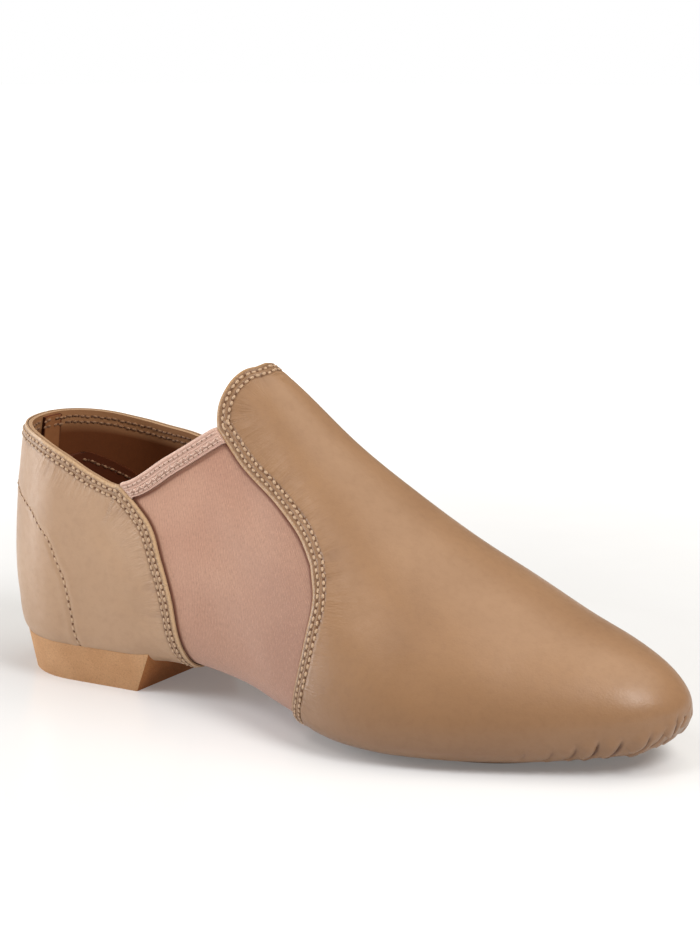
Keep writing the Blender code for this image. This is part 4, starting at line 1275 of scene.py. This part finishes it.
def sewn_rows(name, lines, tree, pitch=PITCH, finish=THREAD):
    """Stitches and needle holes along lines, dropped onto a face."""
    stitches, holes = [], []
    rng = np.random.default_rng(len(name))
    for line in lines:
        for spot, way, up in seats(line, tree, pitch):
            turn = rng.normal(0, CHANCE_TURN)
            across = np.cross(up, way)
            spot = spot + across * rng.normal(0, CHANCE_ACROSS) + way * rng.normal(0, CHANCE_AHEAD)
            stitches.append((spot, way * math.cos(turn) + across * math.sin(turn), up))
        holes += seats(line, tree, pitch, pitch / 2)
    made = set_along(name + "_stitches", stitches, STITCH, STITCH_SINK, finish)
    dots = set_along(name + "_needle_holes", holes, NEEDLE_HOLE, HOLE_SINK, HOLE_SHADE)
    print(name, "rows:", len(stitches), "stitches")


def quarter_row(side, step):
    """Down the collar from the back, round the corner and down the front edge."""
    collar = collar_nodes(side, 120)
    front = quarter_seam(side, FINE)[FINE.under + 3:][::-1]
    corner = line_on(side, collar[-1:], COVER)[0]
    rows = [row_beside(side, nodes, QUARTER_MIDDLE, step) for nodes in (collar, front)]
    return np.vstack([row[np.linalg.norm(row - corner, axis=1) > step * 1.15] for row in rows])


quarter_tree = tree_of(quarter)
sewn_rows("vamp", [row_beside(side, vamp_edge_nodes(1), VAMP_MIDDLE, step)
                   for side in SIDES for step in VAMP_ROWS], tree_of(vamp))
sewn_rows("quarter", [quarter_row(side, step) for side in SIDES for step in QUARTER_ROWS],
          quarter_tree)
sewn_rows("counter", [height_line(side, COUNTER_LINE, 120, COVER) for side in SIDES],
          quarter_tree, COUNTER_PITCH)

# %% [markdown]
# ## Inside the heel
# A soft leather cover hides the counter inside, up to the same curved row. A narrow strip covers
# the back seam from the sock to the collar.


# %% Counter cover and back strip
COVER_LINE = ((0.0100, 0.0664), (0.0162, 0.0672), (0.0195, 0.0673), (0.0250, 0.0668),
              (0.0310, 0.0660), (0.0402, 0.0647), (0.0498, 0.0634), (0.0620, 0.0617),
              (0.0762, 0.0598), (0.0950, 0.0562), (0.1120, 0.0513), (0.1280, 0.0451),
              *COUNTER_LINE[7:])
COVER_BACK, STRIP_ENDS, STRIP_HALF = (0.0150, 0.0662), (0.0155, 0.0822), 0.0050
COVER_DEPTH, STRIP_DEPTH = -BODY_WALL - 0.0009, -BODY_WALL - 0.0012
LINING_GAP = -BODY_WALL - 0.0001


def inner_patch(side, columns, rows):
    """Grid from the back to the cover's edge, from the sock up."""
    at = drawn(COVER_LINE[::-1], rows)
    u = even(columns)[:, None]
    along = along_at_distance(u * distance_at_along(at[:, 0]))
    height = mix(mix(*COVER_BACK, even(rows)), at[:, 1], ease(u) ** 0.7)
    return side, along, level_at_height(along, height)


def strip_patch(side, columns, rows):
    along = along_at_distance(even(columns) * STRIP_HALF)[:, None] * np.ones(rows + 1)
    low, high = (level_at_height(along, height) for height in STRIP_ENDS)
    return side, along, mix(low, high, even(rows))


def inner_tree(*layers):
    """The inner faces of sheets at their distances out, to drop points onto."""
    points, rings = [], []
    for sheet, out in layers:
        start = len(points)
        points += [Vector(p) for p in sheet.at(out)]
        rings += [[start + k for k in ring[::-1]] for ring in sheet.faces]
    return BVHTree.FromPolygons(points, rings)


inside = Sheet([inner_patch(side, 44, 40) for side in SIDES])
cover = wall("inner_counter_cover", inside, COVER_DEPTH, LINING_GAP, (COUNTER_COVER,) * 3)
store(cover, relief=np.zeros(len(inside.along)))
strip = Sheet([strip_patch(side, 10, 60) for side in SIDES])
# The strip's rim gets the dark counter leather: painted shadow at its edges.
back_strip = wall("back_seam_strip", strip, STRIP_DEPTH, LINING_GAP,
                  (LINING, STRIP_LEATHER, COUNTER_COVER))
# No real relief: this only darkens the strip's outer edges through the leather's crease shade, as
# painted shadow.
store(back_strip, relief=-0.0009 * ease((distance_at_along(strip.along) - 0.0040) / 0.0009))

lining_tree = inner_tree((body_sheet, -BODY_WALL), (strip, STRIP_DEPTH))
collar_rows = [row_beside(side, collar_nodes(side, 120, 0.0008), QUARTER_MIDDLE, step,
                          -BODY_WALL - 0.0020) for side in SIDES for step in (0.0022, 0.0042)]
sewn_rows("collar_lining", collar_rows, lining_tree, finish=LINING_THREAD)
below_edge = [(along - 0.003, height - 0.0026) for along, height in COVER_LINE[2:-3]]
cover_rows = [height_line(side, below_edge, 100, STRIP_DEPTH) for side in SIDES]
sewn_rows("counter_cover", cover_rows, inner_tree((inside, COVER_DEPTH)), COUNTER_PITCH,
          LINING_THREAD)
print("inside:", triangles(cover) + triangles(back_strip), "triangles")

# %% [markdown]
# ## Binding stitches
# The band is held by a zigzag between two straight rows, sewn through all its layers.

# %% Zigzag
BAND_ROWS = (
    # depth below the edge, turn of the stitches, pitch
    (0.0010, 0.0, 0.0019), (0.0042, 0.0, 0.0019), (0.0026, 0.85, 0.0013),
)
BAND_REACH = BINDING_CLEARANCE + BINDING_THICKNESS + 0.001
sewn_through, dots = [], []
for piece, tops, outs, ups in bands.values():
    tree = tree_of(piece)
    for depth, turn, pitch in BAND_ROWS:
        line = (tops - ups * depth + outs * BAND_REACH)[2:-2]
        for k, (spot, way, up) in enumerate(seats(line, tree, pitch)):
            angle = turn if k % 2 else -turn
            tilted = way * math.cos(angle) + np.cross(up, way) * math.sin(angle)
            sewn_through.append((spot, tilted, up))
        if turn == 0.0:
            dots += seats(line, tree, pitch, pitch / 2)
small_hole, long_stitch = pill(0.00080, 0.00070, 0.00022), pill(0.0018, 0.00056, 0.00046)
set_along("binding_needle_holes", dots, small_hole, 0.00002, HOLE_SHADE)
zigzag = set_along("binding_stitches", sewn_through, long_stitch, 0.00010, PALE_THREAD)
print("binding:", len(sewn_through), "stitches")

# %% [markdown]
# ## Sock, forefoot sole and heel
# The sock is a thin padded lining on the floor of the shoe. The two soles are slabs: their upper
# faces follow the leather's underside and their lower faces are flat on the floor.


# %% Sock
def sock_patch(side, columns, rows):
    along = along_at_distance(even(columns) * distance_at_along(np.array(SOCK_TO)))
    beyond = np.clip((along - SOCK_ROUND_FROM) / (SOCK_TO - SOCK_ROUND_FROM), 0, 1)
    edge = SOCK_ON_FLAT * FLAT_EDGE * np.sqrt(1 - beyond**2)
    return side, along[:, None] * np.ones(rows + 1), edge[:, None] * even(rows)


SOCK_CROWN, CROWN_FROM = 0.0006, 0.86
sock_sheet = Sheet([sock_patch(side, 110, 14) for side in SIDES])
share = sock_sheet.level / (SOCK_ON_FLAT * FLAT_EDGE)
crown = SOCK_CROWN * np.clip((share - CROWN_FROM) / (1 - CROWN_FROM), 0, 1) ** 2
thickness = BODY_WALL + CLEARANCE + SOCK_THICKNESS - crown
sock = wall("sock_lining", sock_sheet, -thickness, -BODY_WALL - CLEARANCE, (SOCK_SUEDE,) * 3)
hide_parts("sock")
print("sock:", triangles(sock), "triangles")


# %% Slabs
def underside(along, side, reach, gap=CLEARANCE):
    """Points a gap below the leather's underside."""
    return surface(along, level_at_reach(along, side, reach), side, COVER + gap)


def whole(halves):
    """Both halves of a grid, joined along the centre line."""
    return np.concatenate([halves[0][:, ::-1], halves[1][:, 1:]], axis=1)


def slab(name, top, bottom, finish, bevel):
    """A closed slab between two grids of points, its edges rounded by a bevel."""
    rows, columns = top.shape[:2]
    points = np.vstack([top.reshape(-1, 3), bottom.reshape(-1, 3)])
    half = rows * columns
    faces = []
    for i in range(rows - 1):
        for j in range(columns - 1):
            ring = [i * columns + j, i * columns + j + 1]
            ring += [ring[1] + columns, ring[0] + columns]
            faces += [tuple(ring), tuple(half + ring[k] for k in (0, 3, 2, 1))]
    grid = np.arange(half).reshape(rows, columns)
    for rim in (grid[:, 0], grid[:, -1], grid[0], grid[-1]):
        rim = rim.tolist()
        faces += [(a, b, half + b, half + a) for a, b in zip(rim, rim[1:])]
    piece = new_piece(name, points, faces, (finish,))
    bpy.ops.object.select_all(action="DESELECT")
    piece.select_set(True)
    bpy.context.view_layer.objects.active = piece
    bpy.ops.object.mode_set(mode="EDIT")
    bpy.ops.mesh.select_all(action="SELECT")
    bpy.ops.mesh.remove_doubles(threshold=0.00002)
    bpy.ops.mesh.dissolve_degenerate(threshold=0.00002)
    bpy.ops.mesh.normals_make_consistent(inside=False)
    bpy.ops.object.mode_set(mode="OBJECT")
    rounding = piece.modifiers.new("rounding", "BEVEL")
    rounding.width, rounding.segments, rounding.limit_method = bevel, 3, "ANGLE"
    rounding.angle_limit = math.radians(38)
    rounding.use_clamp_overlap = True
    bpy.ops.object.modifier_apply(modifier="rounding")
    bpy.ops.object.shade_smooth_by_angle(angle=math.radians(40))
    return piece


print("the leather's underside at the ball:", underside(np.array(0.67), -1, 0.01).round(4))


# %% Forefoot sole
def pad_reach(along, side):
    """Reach of the pad's pointed oval."""
    middle = (PAD_FROM + PAD_TO) / 2
    offset = np.clip(np.abs(along - middle) / (PAD_TO - middle), 0, 1)
    shape = shape_at(along)
    flat = PAD_ON_FLAT * shape[..., 8] * half_width(shape, side)
    return flat * np.sqrt(1 - offset**PAD_END_POWER)


across = even(12)
stations = mix(PAD_FROM, PAD_TO, (1 - np.cos(even(90) * math.pi)) / 2)[:, None]
stations = stations * np.ones(len(across))
pad_top = whole([underside(stations, side, pad_reach(stations, side) * across) for side in SIDES])
ahead, behind = np.maximum(0, stations - PAD_LEVEL_TO), np.maximum(0, PAD_LEVEL_FROM - stations)
lift = (PAD_LIFT * (ahead**2 + behind**2))[:, :1]
pad_bottom = pad_top.copy()
pad_bottom[..., 2] = np.minimum(lift, pad_top[..., 2] - PAD_EDGE)
pad = slab("forefoot_pad", pad_top, pad_bottom, PAD_SUEDE, 0.0003)
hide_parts("forefoot_sole")
print("forefoot sole:", triangles(pad), "triangles")

# %% Heel
# Its upper rim draws in a little and lies lower, so that it fits under the swollen leather. The
# breast gets a darker crepe than the sides: painted shade.
RIM_REACH, RIM_GAP, FACING_AHEAD = HEEL_REACH - 0.02, 0.00005, 0.6
fan = float(distance_at_along(np.array(HALF_HEEL / BODY_LENGTH)))
total = float(distance_at_along(np.array((HEEL_LENGTH - COVER) / BODY_LENGTH)))
distance = even(70)[:, None] * total
slant = np.maximum(0, distance - fan) / (total - fan) * HEEL_SLANT
across = even(16)
tops, bottoms = [], []
for side in SIDES:
    along = along_at_distance(distance + slant) * np.ones(len(across))
    reach = half_width(shape_at(along), side) * RIM_REACH * across
    swell = feather(along, level_at_reach(along, side, reach))
    tops.append(underside(along, side, reach, RIM_GAP + swell))
    along = along_at_distance(distance) * np.ones(len(across))
    shape = shape_at(along)
    reach = half_width(shape, side) * HEEL_REACH * HEEL_TAPER * across
    bottoms.append(placed(along, side, shape[..., 0], reach, np.zeros_like(reach)))
heel = slab("heel_block", whole(tops), whole(bottoms), HEEL_CREPE, 0.0007)
# Faces turned forward, the breast, get the darker crepe: painted shade.
heel.data.materials.append(PAINTED_SHADE_CREPE)
for p in heel.data.polygons:
    p.material_index = 1 if p.normal.x > FACING_AHEAD else 0
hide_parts("heel")
print("heel:", triangles(heel), "triangles")

# %% [markdown]
# ## Floor, light and camera
# The shoe stands on a pale, faintly glossy floor in front of a white backdrop, which is the world.
# A cool panel lights the outer side and warmer light comes from above, which keeps the top of the
# vamp a deeper tan. The camera looks at the outer side from a little above, with a long lens.


# %% Floor and lights
def studio_floor():
    bpy.ops.object.select_all(action="DESELECT")
    bpy.ops.mesh.primitive_circle_add(vertices=96, radius=4, fill_type="NGON", location=(0, 0, 0))
    made = bpy.context.object
    made.name = "studio_floor"
    paint = Paint("studio floor", Base_Color=(0.77, 0.795, 0.83, 1), Emission_Strength=1.0)
    away = paint.node("ShaderNodeVectorMath", {"operation": "LENGTH"}, {0: paint.place()}, output=1)
    # The floor glows: faintly near the shoe, painted light that lifts the shadow under it, and
    # white further off, where it is the backdrop.
    far = paint.between(away, 0.16, 0.80)
    glow = paint.blend(far, (0.13, 0.13, 0.13), (0.99, 0.99, 1.0))
    dust = paint.between(paint.noise(30, 2, 0.5), 0.3, 0.7, 0.16, 0.22)
    made.data.materials.append(paint.feed(Emission_Color=glow, Roughness=dust))


def lamp(name, kind, energy, colour, aim, place=(0, 0, 0), **values):
    """A light at a place, turned towards its aim."""
    data = bpy.data.lights.new(name, kind)
    data.energy, data.color = energy, colour
    for key, value in values.items():
        setattr(data, key, value)
    made = add(bpy.data.objects.new(name, data))
    made.location = place
    made.rotation_euler = (Vector(aim) - Vector(place)).to_track_quat("-Z", "Y").to_euler()


studio_floor()
lamp("key_softbox", "AREA", 6.5, (1.0, 0.97, 0.94), (0.0, 0.0, 0.03), (-0.40, -0.95, 1.60),
     shape="DISK", size=0.8)
lamp("left_panel", "AREA", 20.5, (0.93, 0.965, 1.0), (-0.05, 0.0, 0.05), (-1.60, -0.75, 0.45),
     shape="DISK", size=1.0)
lamp("toe_kicker", "AREA", 4.4, (1.0, 0.98, 0.95), (0.112, 0.0, 0.018), (0.60, -0.18, 0.66),
     shape="DISK", size=0.40)
lamp("overhead_glow", "SUN", 1.25, (1.0, 0.92, 0.80), (-0.25, -0.30, -1.0), angle=math.radians(50))

# %% World
# The world glows softly and warmly on the shoe, and the camera sees it as a white backdrop.
bpy.context.scene.view_settings.view_transform = "Standard"
world = bpy.data.worlds.new("studio")
bpy.context.scene.world = world
world.use_nodes = True
tree = world.node_tree
glow, backdrop = tree.nodes["Background"], tree.nodes.new("ShaderNodeBackground")
for node, strength, colour in ((glow, 0.30, (1, 0.92, 0.82, 1)), (backdrop, 1.0, (1, 1, 1, 1))):
    node.inputs["Color"].default_value = colour
    node.inputs["Strength"].default_value = strength
seen, either = tree.nodes.new("ShaderNodeLightPath"), tree.nodes.new("ShaderNodeMixShader")
tree.links.new(seen.outputs["Is Camera Ray"], either.inputs[0])
tree.links.new(glow.outputs[0], either.inputs[1])
tree.links.new(backdrop.outputs[0], either.inputs[2])
tree.links.new(either.outputs[0], tree.nodes["World Output"].inputs[0])
print("world nodes:", len(tree.nodes))

# %% Camera
AZIMUTH, ELEVATION, ROLL = (math.radians(v) for v in (32.1, 12.02, 0.09))
FOCAL_PIXELS, FRAME_HEIGHT, SENSOR = 2353.2, 933, 36.0
CAMERA_PLACE = (0.38778, -0.60713, 0.2313)
flat = math.cos(ELEVATION)
back = Vector((math.sin(AZIMUTH) * flat, -math.cos(AZIMUTH) * flat, math.sin(ELEVATION)))
right = Vector((math.cos(AZIMUTH), math.sin(AZIMUTH), 0))
up = back.cross(right)
turned_right = right * math.cos(ROLL) + up * math.sin(ROLL)
turned_up = up * math.cos(ROLL) - right * math.sin(ROLL)
camera_data = bpy.data.cameras.new("camera")
camera_data.sensor_width = SENSOR
camera_data.lens = FOCAL_PIXELS * SENSOR / FRAME_HEIGHT
camera = add(bpy.data.objects.new("camera", camera_data))
turn = Matrix((turned_right, turned_up, back)).transposed().to_4x4()
camera.matrix_world = Matrix.Translation(CAMERA_PLACE) @ turn
bpy.context.scene.camera = camera
print("lens:", round(camera_data.lens, 1), "mm")

# %% [markdown]
